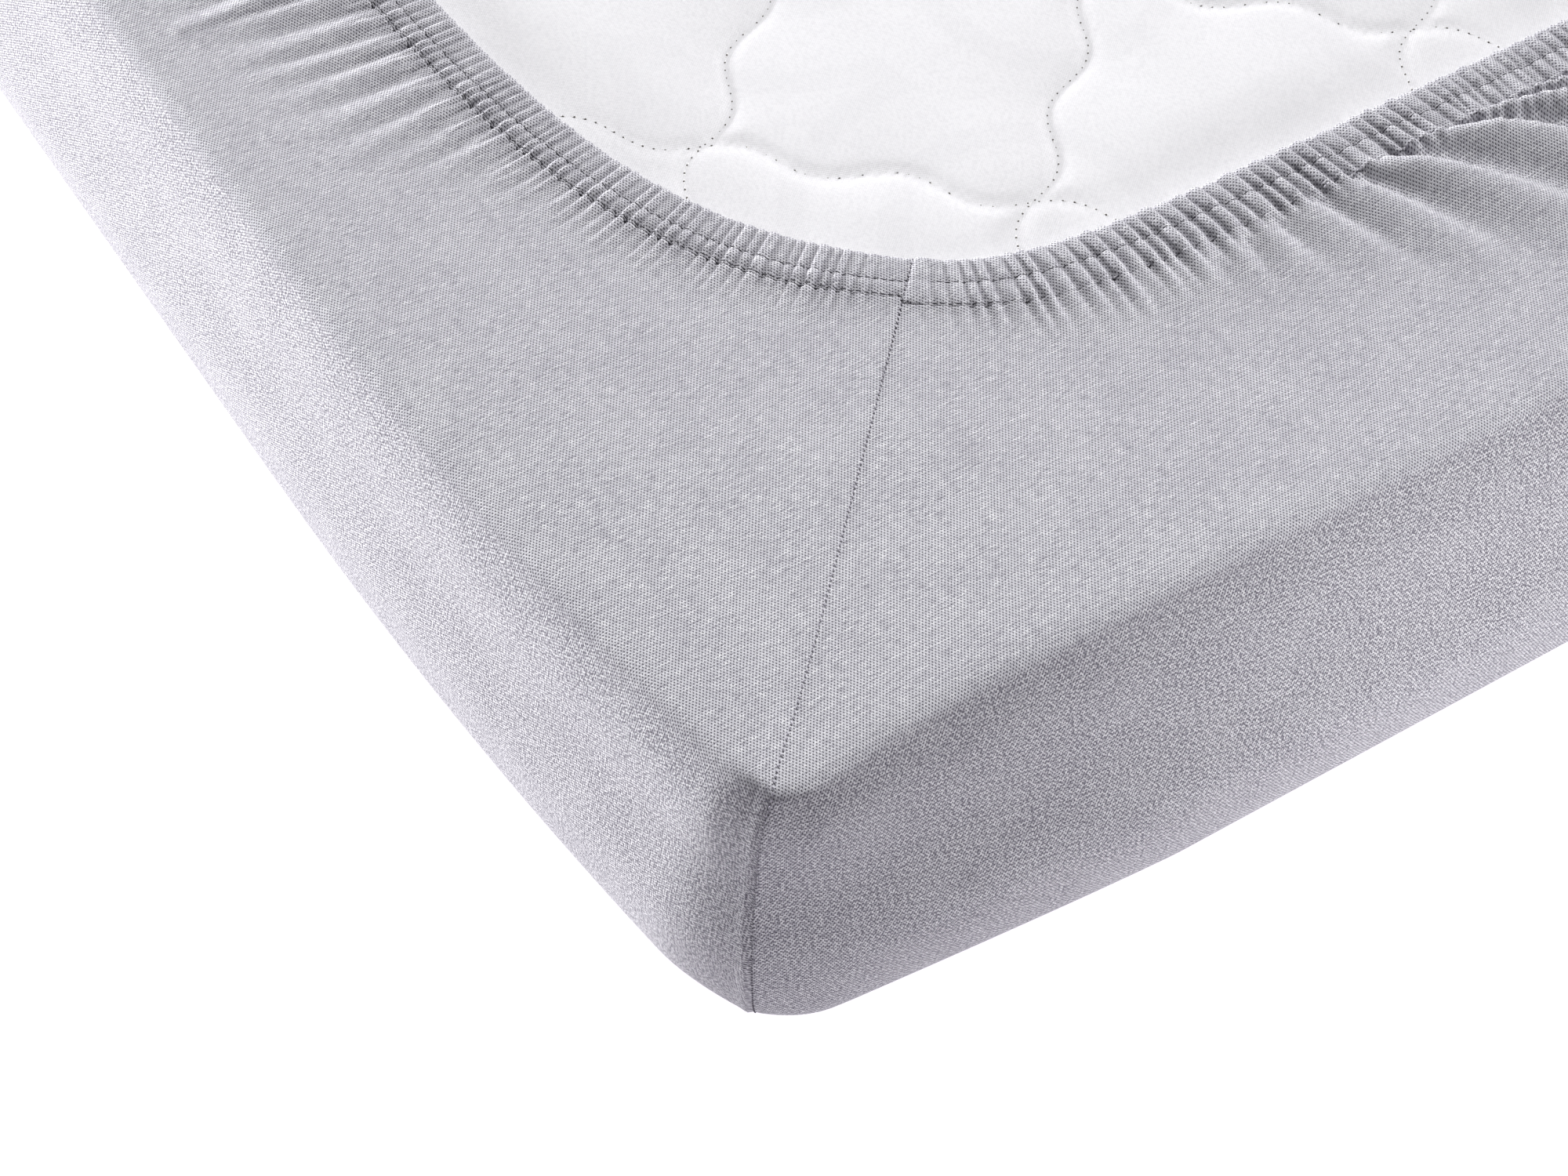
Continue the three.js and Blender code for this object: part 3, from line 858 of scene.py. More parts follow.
# ---- The cloth -------------------------------------------------------------------------
@dataclass
class SeamRelief:
    """The four corner seams: a fine groove beside the seam allowance that lies under the cloth."""

    groove: float = 0.28
    groove_width: float = 0.75
    allowance: float = 2.6
    step: float = 0.3
    slope: float = 4.5
    on_end: bool = False  # the raised side is the end's, not the flank's
    reach: float = 12.0
    meet: float = 1.5  # the two sides are level over this far beside the seam

    def of(self, rings: list[Ring]) -> np.ndarray:
        """How far each point of these rings is moved out by the seams.

        Args:
            rings: Rings in order, each with points on all four seams.

        Returns:
            One number for each point of all the rings.
        """
        seams = [[ring.at_corner(corner) for ring in rings] for corner in range(4)]
        heading = [np.gradient(np.array(line), axis=0) for line in seams]
        out = []
        for k, ring in enumerate(rings):
            relief = np.zeros(len(ring.points))
            for corner in range(4):
                offset = ring.points - seams[corner][k]
                along = heading[corner][k] / (np.linalg.norm(heading[corner][k]) + 1e-9)
                away = np.linalg.norm(offset - np.outer(offset @ along, along), axis=1)
                turn = (ring.place - corner + 2) % 4 - 2
                near = (np.abs(turn) < 0.2) & (away < self.reach)
                raised = (turn < 0 if corner % 2 == 0 else turn > 0) != self.on_end
                slope = smooth((self.allowance + self.slope - away) / self.slope)
                step = self.step * slope * raised * smooth(away / self.meet)
                cut = -self.groove * np.exp(-((away / self.groove_width) ** 2))
                relief += np.where(near, step + cut, 0.0)
            out.append(relief)
        return np.concatenate(out)


@dataclass
class JerseySheet:
    """The sheet's cloth from the hem's outer stitch row to the panel on the floor."""

    gathered: Gathered
    thickness: float = 1.6
    under_hem: float = 0.9
    near_step: float = 4.5
    far_step: float = 10.0
    steps: tuple[int, ...] = (4, 4, 4, 7, 6, 6, 4)
    seen_reach: float = 560.0  # the near step is kept this far from the seen corner
    seam_step: float = 0.45  # step at a seam, and its growth away from it
    seam_growth: float = 0.16
    coarse_every: int = 7
    # Rings past the hem, with all its columns and then with every other one.
    near: tuple[float, ...] = (0, 0.7, 1.6, 2.9, 4.6, 7, 10, 13.5, 17.5)
    middle: tuple[float, ...] = (22, 27, 32.5, 38.5, 45)
    far: tuple[float, ...] = (0.1, 0.22, 0.36, 0.52, 0.7, 1.0)  # shares of what is left
    shade_fade: float = 3.0
    flat_width: float = 1.44
    flat_length: float = 2.61
    flat_area: float = 3.3

    def columns(self, coarse: bool = False) -> list[np.ndarray]:
        """The places of the plain columns on each side."""
        result = []
        for side in range(4):
            span = PLAN.box_length(side) - 2 * PLAN.corner_along(SECTION[1], side)

            def spacing(x: np.ndarray) -> np.ndarray:
                """The spacing at distances from the side's first seam."""
                from_seen = x if side in SEEN_STARTS else span - x
                seen = side in SEEN_STARTS | SEEN_ENDS
                near = seen & (from_seen < self.seen_reach)
                step = np.where(near, self.near_step, self.far_step)
                from_seam = np.minimum(x, span - x)
                return np.minimum(step, self.seam_step + self.seam_growth * from_seam)

            places = graded(span, spacing) / span
            if coarse:
                places = np.append(places[: -1 : self.coarse_every], 1.0)
            result.append(places)
        return result

    def section_rings(self, t: list[np.ndarray]) -> list[Ring]:
        """Rings along a smooth line through the section's rows, outwards from the tuck."""
        knots = np.array([PLAN.row_ring(row, t).points for row in SECTION])
        gaps = np.linalg.norm(np.diff(knots, axis=0), axis=2).mean(axis=1)
        slopes = np.diff(knots, axis=0) / gaps[:, None, None]
        tangents = np.empty_like(knots)
        tangents[0], tangents[-1] = slopes[0], slopes[-1]
        for i in range(1, len(knots) - 1):
            share = gaps[i - 1] / (gaps[i - 1] + gaps[i])
            tangents[i] = slopes[i - 1] * (1 - share) + slopes[i] * share
        tangents[1, :, 2] = 0.0
        tangents[-1, :, 2] = 0.0
        place = np.concatenate([i + values[:-1] for i, values in enumerate(t)])
        rings = []
        before = knots[0]
        spread = np.zeros((len(place), 2))
        for i, count in enumerate(self.steps):
            for step in range(1, count + 1):
                x = step / count
                points = (
                    (2 * x**3 - 3 * x**2 + 1) * knots[i]
                    + (x**3 - 2 * x**2 + x) * gaps[i] * tangents[i]
                    + (3 * x**2 - 2 * x**3) * knots[i + 1]
                    + (x**3 - x**2) * gaps[i] * tangents[i + 1]
                )
                change = points - before
                spread = spread + np.hypot(change[:, :2], change[:, 2:])
                rings.append(Ring(points, place, spread, knots[0][:, :2].copy()))
                before = points
        return rings

    def inner_rings(self) -> list[Ring]:
        """The inside of the cloth, from the floor up to the hem, with few columns."""
        t = self.columns(coarse=True)
        rings = [PLAN.row_ring(row, t, self.thickness) for row in reversed(SECTION)]
        hem_points = []
        for side, places in zip(self.gathered.sides, t):
            outer = side.plan_points(side.width)
            x, y = (np.interp(places, side.t, outer[:, axis]) for axis in (0, 1))
            z = np.full(len(places), TOP - self.under_hem)
            hem_points.append(np.column_stack([x, y, z]))
        rings.append(ring_of(hem_points, t))
        return rings

    def outer_rings(self) -> list[Ring]:
        """All the rings of the outside, from the hem to the floor."""
        ring = self.gathered.ring
        rings = [ring(lambda side, r=r: side.width + r) for r in self.near]
        rings += [ring(lambda side, r=r: side.width + r, 2) for r in self.middle]
        for share in self.far:

            def reach(side: HemSide, share: float = share) -> np.ndarray:
                """A share of the way from the last middle ring to the tuck."""
                start = side.width + self.middle[-1]
                return start + (side.run - start) * share

            rings.append(ring(reach, 2))
        return rings + self.section_rings(self.columns())

    def build(self) -> bpy.types.Object:
        """Makes the closed shell of the sheet."""
        body = Body()
        inner = [body.add(ring) for ring in self.inner_rings()]
        body.cap(inner[0], outwards=False)
        body.join_all(inner)
        outer = [body.add(ring) for ring in self.outer_rings()]
        body.join(inner[-1], outer[0], flat=True)
        body.join_all(outer)
        body.cap(outer[-1], outwards=True)
        inside = sum(len(ring.points) for ring in inner) + 1
        relief = np.zeros(body.count)
        shown = SeamRelief().of(outer)
        relief[inside : inside + len(shown)] = shown
        relief[inside + len(shown) - len(outer[-1].points) - 1 :] = 0.0
        sheet = body.mesh("sheet_jersey", relief)
        # painted shade in the valleys between the puckers, fading out past the hem
        hollows = []
        for r in self.near:
            hollow = self.gathered.hollow(lambda side, r=r: side.width + r)
            hollows.append(hollow * math.exp(-r / self.shade_fade))
        write_hollow(sheet, inside, hollows)
        return sheet


@dataclass
class HemBand:
    """The turned hem with the elastic in it: a closed band along the opening."""

    gathered: Gathered
    rows: tuple[float, ...] = (0, 0.03, 0.1, 0.22, 0.38, 0.52, 0.66, 0.8, 0.92, 1.0)
    outer_rows: tuple[float, ...] = (0.06, 0.16, 0.32, 0.5, 0.68, 0.82, 0.92, 1.0)
    under_rows: tuple[float, ...] = (1.0, 0.5, 0.12, 0.02)  # on the underside, with fewer columns
    under_every: int = 4
    under_round: float = 0.9  # the underside rises this much to the free edge, over this reach
    under_round_reach: float = 1.2
    under_share: float = 0.12  # share of the puckers' height that shows on the underside
    seam: SeamRelief = field(
        default_factory=lambda: SeamRelief(step=0.9, allowance=3.0, slope=8.0, on_end=True)
    )

    def build(self) -> bpy.types.Object:
        """Makes the band, from its outer edge over its face to the free edge and back below."""
        body = Body()
        shares = [(inner, 0.0) for inner in self.rows] + [(1.0, outer) for outer in self.outer_rows]
        reaches = [lambda side, i=i, o=o: side.reach_at(i, o) for i, o in shares]
        face = [self.gathered.ring(reach) for reach in reaches]
        below = [self._below(share) for share in self.under_rows]
        rings = [body.add(ring) for ring in below + face]
        for index, (a, b) in enumerate(zip(rings[:-1], rings[1:])):
            body.join(a, b, flat=index < len(below) - 2)
        body.join(rings[-1], rings[0], flat=True)
        relief = np.zeros(body.count)
        hidden = sum(len(ring.points) for ring in below)
        relief[hidden:] = self.seam.of(face)
        relief[-len(face[-1].points) :] = 0.0
        band = body.mesh("hem_band", relief)
        # painted shade in the valleys between the hem's puckers
        write_hollow(band, hidden, [self.gathered.hollow(reach) for reach in reaches])
        return band

    def _below(self, share: float) -> Ring:
        """A ring on the underside, which lies flat."""
        drop = HEM.thick - HEM.lift

        def points(side: HemSide) -> np.ndarray:
            """One side's points, just over the flat cloth."""
            face = side.face(side.width * share)
            rounding = self.under_round * math.exp(-share * side.width / self.under_round_reach)
            face[:, 2] = TOP - drop + rounding + self.under_share * side.fine(3.0)
            return face[:: self.under_every]

        sides = self.gathered.sides
        return ring_of([points(side) for side in sides], [s.t[:: self.under_every] for s in sides])


# ---- Stitches --------------------------------------------------------------------------
@dataclass(frozen=True)
class StitchSizes:
    """One run of stitches: pitch and length along the line, thread radius and height, in mm."""

    pitch: float
    length: float
    radius: float
    rise: float = 0.0
    turn: float = 0.0


class StitchRun:
    """Stitches set along lines by Geometry Nodes."""

    segments: int = 6
    rings: int = 4
    unevenness: float = 0.12  # most that a stitch turns aside, in radians

    def __init__(self, name: str, sizes: StitchSizes, material: bpy.types.Material) -> None:
        """Keeps the run's name, sizes and thread."""
        self.name = name
        self.sizes = sizes
        self.material = material

    def _tree(self) -> bpy.types.NodeTree:
        """Builds the node tree, with the run's sizes as named inputs."""
        tree = bpy.data.node_groups.new(f"{self.name}_stitches", "GeometryNodeTree")
        face = tree.interface
        face.new_socket("Geometry", in_out="INPUT", socket_type="NodeSocketGeometry")
        for label in ("Pitch", "Length", "Radius", "Turn", "Unevenness"):
            face.new_socket(label, in_out="INPUT", socket_type="NodeSocketFloat")
        face.new_socket("Thread", in_out="INPUT", socket_type="NodeSocketMaterial")
        face.new_socket("Geometry", in_out="OUTPUT", socket_type="NodeSocketGeometry")
        given = add_node(tree, "NodeGroupInput").outputs

        def step(kind: str, inputs: dict, out: int = 0, **settings: object) -> bpy.types.NodeSocket:
            """Adds a node and gives one of its outputs."""
            return add_node(tree, kind, inputs, **settings).outputs[out]

        curve = step("GeometryNodeMeshToCurve", {"Mesh": given["Geometry"]})
        spaced = {"Curve": curve, "Length": given["Pitch"]}
        points = add_node(tree, "GeometryNodeCurveToPoints", spaced, mode="LENGTH")
        least = step("ShaderNodeMath", {0: given["Unevenness"], 1: -1.0}, operation="MULTIPLY")
        # The random value's float sockets share their names with its other kinds.
        swing = step("FunctionNodeRandomValue", {2: least, 3: given["Unevenness"], "Seed": 7}, 1)
        angle = step("ShaderNodeMath", {0: given["Turn"], 1: swing}, operation="ADD")
        turn = step("ShaderNodeCombineXYZ", {"Z": angle})
        tangent = points.outputs["Tangent"]
        aligned = step("FunctionNodeAlignRotationToVector", {"Vector": tangent}, axis="X")
        rotation = step(
            "FunctionNodeRotateRotation",
            {"Rotation": aligned, "Rotate By": turn},
            rotation_space="LOCAL",
        )
        sphere = {"Segments": self.segments, "Rings": self.rings, "Radius": 1.0}
        ball = step("GeometryNodeMeshUVSphere", sphere)
        half = step("ShaderNodeMath", {0: given["Length"], 1: 0.5}, operation="MULTIPLY")
        thick = given["Radius"]
        size = step("ShaderNodeCombineXYZ", {"X": half, "Y": thick, "Z": thick})
        places = {"Points": points.outputs["Points"], "Instance": ball}
        set_out = step(
            "GeometryNodeInstanceOnPoints", {**places, "Rotation": rotation, "Scale": size}
        )
        real = step("GeometryNodeRealizeInstances", {"Geometry": set_out})
        shaded = step("GeometryNodeSetShadeSmooth", {"Geometry": real, "Shade Smooth": True})
        thread = {"Geometry": shaded, "Material": given["Thread"]}
        add_node(tree, "NodeGroupOutput", {"Geometry": step("GeometryNodeSetMaterial", thread)})
        return tree

    def build(self, lines: list[np.ndarray], closed: bool) -> bpy.types.Object:
        """Sets the stitches along the lines.

        Args:
            lines: Points of each line, in millimetres.
            closed: Whether each line comes back to its first point.

        Returns:
            A plain mesh object.
        """
        points, edges = [], []
        for line in lines:
            start = sum(len(part) for part in points)
            points.append(line)
            edges += [(start + i, start + i + 1) for i in range(len(line) - 1)]
            if closed:
                edges.append((start + len(line) - 1, start))
        path = bpy.data.meshes.new(f"{self.name}_path")
        path.from_pydata((np.concatenate(points) * MM).tolist(), edges, [])
        obj = linked(self.name, path)
        modifier = obj.modifiers.new("stitches", "NODES")
        modifier.node_group = self._tree()
        values = {
            "Pitch": self.sizes.pitch * MM,
            "Length": self.sizes.length * MM,
            "Radius": self.sizes.radius * MM,
            "Turn": self.sizes.turn,
            "Unevenness": self.unevenness,
            "Thread": self.material,
        }
        for item in modifier.node_group.interface.items_tree:
            if item.in_out == "INPUT" and item.name in values:
                modifier[item.identifier] = values[item.name]
        evaluated = obj.evaluated_get(bpy.context.evaluated_depsgraph_get())
        mesh = bpy.data.meshes.new_from_object(evaluated)
        obj.modifiers.clear()
        obj.data = mesh
        mesh.name = self.name
        bpy.data.meshes.remove(path)
        return obj


class HemStitching:
    """The two rows of running stitches that hold the elastic, and the corner seams' stitches."""

    sunk: float = 1.1  # the front's outer row disappears between the gathers
    sunk_from: float = 25.0
    sunk_rise: float = 40.0
    seam_reaches: ClassVar[range] = range(1, 22, 3)  # where the seams' line crosses the hem
    seam_foot: float = 4.0  # the seams' stitches end at this height
    row_sizes = StitchSizes(pitch=3.0, length=2.7, radius=0.2, rise=0.12)
    seam_sizes = StitchSizes(pitch=2.2, length=1.7, radius=0.26, turn=0.6)

    def __init__(
        self, gathered: Gathered, thread: bpy.types.Material, seam_thread: bpy.types.Material
    ) -> None:
        """Keeps the gathered sides and the threads."""
        self.gathered = gathered
        self.thread = thread
        self.seam_thread = seam_thread

    def build_rows(self) -> bpy.types.Object:
        """Makes both rows round the hem."""
        inner = self.gathered.ring(lambda side: side.row).points
        outer = self.gathered.ring(lambda side: side.width - HEM.outer_row_inset).points
        for line in (inner, outer):
            line[:, 2] += self.row_sizes.rise
        front = self.gathered.sides[0].s[:-1]
        outer[: len(front), 2] -= self.sunk * smooth((front - self.sunk_from) / self.sunk_rise)
        run = StitchRun("hem_stitching", self.row_sizes, self.thread)
        return run.build([inner, outer], closed=True)

    def build_seams(self, rings: list[Ring]) -> bpy.types.Object:
        """Makes the stitches along the four corner seams, from the free edge down to the floor."""
        across = [self.gathered.ring(lambda side, r=r: r) for r in self.seam_reaches]
        lines = []
        for corner in range(4):
            line = np.array([ring.at_corner(corner) for ring in across + rings])
            lines.append(line[line[:, 2] > self.seam_foot])
        run = StitchRun("corner_seam_stitching", self.seam_sizes, self.seam_thread)
        return run.build(lines, closed=False)


# ---- The mattress ----------------------------------------------------------------------
class Diagonal(Enum):
    """The two families of quilting lines, by the sign of their slope."""

    FALLING = -1
    RISING = 1


@dataclass
class QuiltedMattress:
    """The mattress inside the sheet: a quilted cover over its foam."""

    pitch: float = 128.0
    cross_x: float = -255.0  # a crossing of the quilting lines
    cross_y: float = -701.0
    wave: float = 4.8  # the lines swing by this much
    wave_length: float = 64.0
    wave_phase: ClassVar[dict] = {Diagonal.FALLING: 12.5, Diagonal.RISING: -12.0}
    line_reach: float = 2200.0  # the lines are followed this far to both sides of the crossing
    line_step: float = 2.2
    line_count: int = 16  # of each family, to both sides
    puff: float = 1.6
    puff_reach: float = 26.0
    dip: float = 1.2
    dip_reach: float = 2.6
    unevenness: float = 0.35
    level: float = TOP - 3.0
    half_x: float = 330.0
    half_y: float = 845.0
    depth: float = 5.5
    fine_step: float = 2.9
    coarse_step_x: float = 5.5
    coarse_step_y: float = 6.5
    fine_x: float = 400.0  # the fine steps are kept this far from the seen corner
    fine_y: float = 300.0
    stitch: StitchSizes = StitchSizes(pitch=4.4, length=3.7, radius=0.27)
    # dark beads along the quilting lines: painted shade in the needle holes
    painted_hole_shade: StitchSizes = StitchSizes(pitch=4.4, length=1.2, radius=0.46)

    def swing(self, family: Diagonal, along: np.ndarray) -> np.ndarray:
        """How far the lines of a family swing aside at distances along them."""
        turn = 2 * np.pi * (along - self.wave_phase[family]) / self.wave_length
        return self.wave * np.cos(turn)

    def from_line(self, x: np.ndarray, y: np.ndarray) -> np.ndarray:
        """Distance from the nearest quilting line."""
        dx, dy = x - self.cross_x, y - self.cross_y
        parts = []
        for family in Diagonal:
            along = (dx + family.value * dy) / math.sqrt(2)
            across = (dy - family.value * dx) / math.sqrt(2) - self.swing(family, along)
            parts.append(np.abs((across + self.pitch / 2) % self.pitch - self.pitch / 2))
        return np.minimum(*parts)

    def inside_hem(self, x: np.ndarray, y: np.ndarray) -> np.ndarray:
        """How far points lie inside the hem's free edge."""
        points = np.stack([x, y], axis=-1)
        parts = []
        for side in range(4):
            along, inset = PLAN.along_inset(side, points)
            parts.append(inset - PLAN.hem_inset(side, along))
        return np.minimum.reduce(parts)

    def height(self, x: np.ndarray, y: np.ndarray) -> np.ndarray:
        """The cover's height: cells swell up away from the hem, and the lines are drawn in."""
        away = self.from_line(x, y)
        room = smooth((self.inside_hem(x, y) - 2) / 40)
        crown = self.puff * (1 - np.exp(-((away / self.puff_reach) ** 1.3)))
        groove = self.dip * np.exp(-((away / self.dip_reach) ** 1.4))
        slow = np.sin(x / 47 + 1.3 * np.sin(y / 61)) * np.cos(y / 53 + 0.7 * np.sin(x / 39))
        raised = (crown + self.unevenness * slow) * room
        return self.level + raised - groove * (0.3 + 0.7 * room)

    def grid_lines(self) -> tuple[np.ndarray, np.ndarray]:
        """The x and y values of the cover's grid, finest beside the seen corner."""
        axes = (
            (self.half_x, self.fine_x, self.coarse_step_x),
            (self.half_y, self.fine_y, self.coarse_step_y),
        )
        xs, ys = (
            graded(2 * half, lambda x, f=fine, c=coarse: np.where(x < f, self.fine_step, c)) - half
            for half, fine, coarse in axes
        )
        return xs, ys

    def build(self, sheet: JerseySheet) -> bpy.types.Object:
        """Makes the closed body of the mattress.

        Args:
            sheet: Gives the columns of the plain sides.

        Returns:
            The mattress object.
        """
        xs, ys = self.grid_lines()
        grid_x, grid_y = np.meshgrid(xs, ys, indexing="ij")
        height = self.height(grid_x, grid_y)
        nx, ny = len(xs), len(ys)
        rim = [(i, 0) for i in range(nx - 1)] + [(nx - 1, j) for j in range(ny - 1)]
        rim += [(nx - 1 - i, ny - 1 - j) for i, j in rim]
        sides = [np.arange(count - 1) / (count - 1) for count in (nx, ny, nx, ny)]
        place = np.concatenate([number + side for number, side in enumerate(sides)])

        def ring_at(cells: list[tuple[int, int]], place: np.ndarray) -> Ring:
            """A ring of points of the grid."""
            points = [(grid_x[cell], grid_y[cell], height[cell]) for cell in cells]
            return Ring(np.array(points), place)

        body = Body()
        rim_ring = body.add(ring_at(rim, place))
        t = sheet.columns(coarse=True)
        rings = [body.add(PLAN.row_ring(row, t, self.depth)) for row in SECTION[1:]]
        rings[0].points[:, 2] = self.level
        body.join(rim_ring, rings[0])
        body.join_all(rings)
        body.cap(rings[-1], outwards=True)
        inner = [(i, j) for i in range(1, nx - 1) for j in range(1, ny - 1)]
        block = body.add(ring_at(inner, np.zeros(len(inner))))
        index = np.empty((nx, ny), dtype=int)
        for number, (i, j) in enumerate(rim):
            index[i, j] = rim_ring.start + number
        index[1:-1, 1:-1] = block.start + np.arange(len(inner)).reshape(nx - 2, ny - 2)
        corners = (index[:-1, :-1], index[1:, :-1], index[1:, 1:], index[:-1, 1:])
        quads = np.stack(corners, axis=-1).reshape(-1, 4)
        body.faces.extend(map(tuple, quads.tolist()))
        body.sides.extend([0] * len(quads))
        body.flat.extend([False] * len(quads))
        return body.mesh("mattress_cover")

    def quilt_lines(self) -> list[np.ndarray]:
        """The quilting lines inside the opening, as points on the cover."""
        lines = []
        along = np.arange(-self.line_reach, self.line_reach, self.line_step)
        for family in Diagonal:
            for number in range(-self.line_count, self.line_count + 1):
                across = number * self.pitch + self.swing(family, along)
                x = (along - family.value * across) / math.sqrt(2) + self.cross_x
                y = (across + family.value * along) / math.sqrt(2) + self.cross_y
                inside = self.inside_hem(x, y) > -4
                if inside.sum() < 4:
                    continue
                first, last = np.flatnonzero(inside)[[0, -1]]
                x, y = x[first : last + 1], y[first : last + 1]
                lines.append(np.column_stack([x, y, self.height(x, y)]))
        return lines


# ---- Finishes --------------------------------------------------------------------------
Value = bpy.types.NodeSocket | float
Colour = bpy.types.NodeSocket | tuple


class Finish:
    """A material in the making, with its tree and its shader."""

    def __init__(self, name: str) -> None:
        """Makes an empty material with one shader."""
        self.material = bpy.data.materials.new(name)
        self.material.use_nodes = True
        self.tree = self.material.node_tree
        self.tree.nodes.clear()
        self.shader = add_node(self.tree, "ShaderNodeBsdfPrincipled")
        add_node(self.tree, "ShaderNodeOutputMaterial", {"Surface": self.shader.outputs[0]})

    def close(self, colour: Colour, **values: Value) -> bpy.types.Material:
        """Sets the shader's colour and its other inputs, named with _ for each space."""
        for name, value in {"Base_Color": colour, **values}.items():
            socket = self.shader.inputs[name.replace("_", " ")]
            if isinstance(value, bpy.types.NodeSocket):
                self.tree.links.new(value, socket)
            else:
                socket.default_value = value
        return self.material

    def math(self, operation: str, a: Value, b: Value = 0.0) -> bpy.types.NodeSocket:
        """The result of one sum on two values or sockets."""
        return add_node(self.tree, "ShaderNodeMath", {0: a, 1: b}, operation=operation).outputs[0]

    def times(self, a: Value, b: Value) -> bpy.types.NodeSocket:
        """One value times another."""
        return self.math("MULTIPLY", a, b)

    def ramp(
        self, value: Value, low: float, high: float, to: tuple[float, float] = (0.0, 1.0)
    ) -> bpy.types.NodeSocket:
        """A value carried smoothly from one range to another."""
        inputs = {"Value": value, "From Min": low, "From Max": high}
        inputs |= {"To Min": to[0], "To Max": to[1]}
        kind = "ShaderNodeMapRange"
        return add_node(self.tree, kind, inputs, interpolation_type="SMOOTHSTEP").outputs[0]

    def tint(self, colour: Colour, mask: Value, strength: Value, to: str) -> bpy.types.NodeSocket:
        """A colour turned towards another where a mask is up."""
        inputs = {0: self.times(mask, strength), 6: colour, 7: linear(to)}
        return add_node(self.tree, "ShaderNodeMix", inputs, data_type="RGBA").outputs[2]

    def noise(
        self, vector: bpy.types.NodeSocket, scale: tuple[float, float, float], detail: float = 2.0
    ) -> bpy.types.NodeSocket:
        """Noise on stretched coordinates, around 0.5."""
        mapped = add_node(self.tree, "ShaderNodeMapping", {"Vector": vector, "Scale": scale})
        inputs = {"Vector": mapped.outputs[0], "Scale": 1.0, "Detail": detail, "Roughness": 0.6}
        return add_node(self.tree, "ShaderNodeTexNoise", inputs).outputs[0]

    def cells(
        self, vector: bpy.types.NodeSocket, scale: float, randomness: float = 1.0
    ) -> bpy.types.NodeSocket:
        """Distance from the middles of scattered cells."""
        inputs = {"Vector": vector, "Scale": scale, "Randomness": randomness}
        return add_node(self.tree, "ShaderNodeTexVoronoi", inputs, feature="F1").outputs[0]

    def bump(
        self, height: bpy.types.NodeSocket, strength: float, distance: float
    ) -> bpy.types.NodeSocket:
        """A normal that follows a height, its distance in metres."""
        inputs = {"Height": height, "Strength": strength, "Distance": distance}
        return add_node(self.tree, "ShaderNodeBump", inputs).outputs[0]


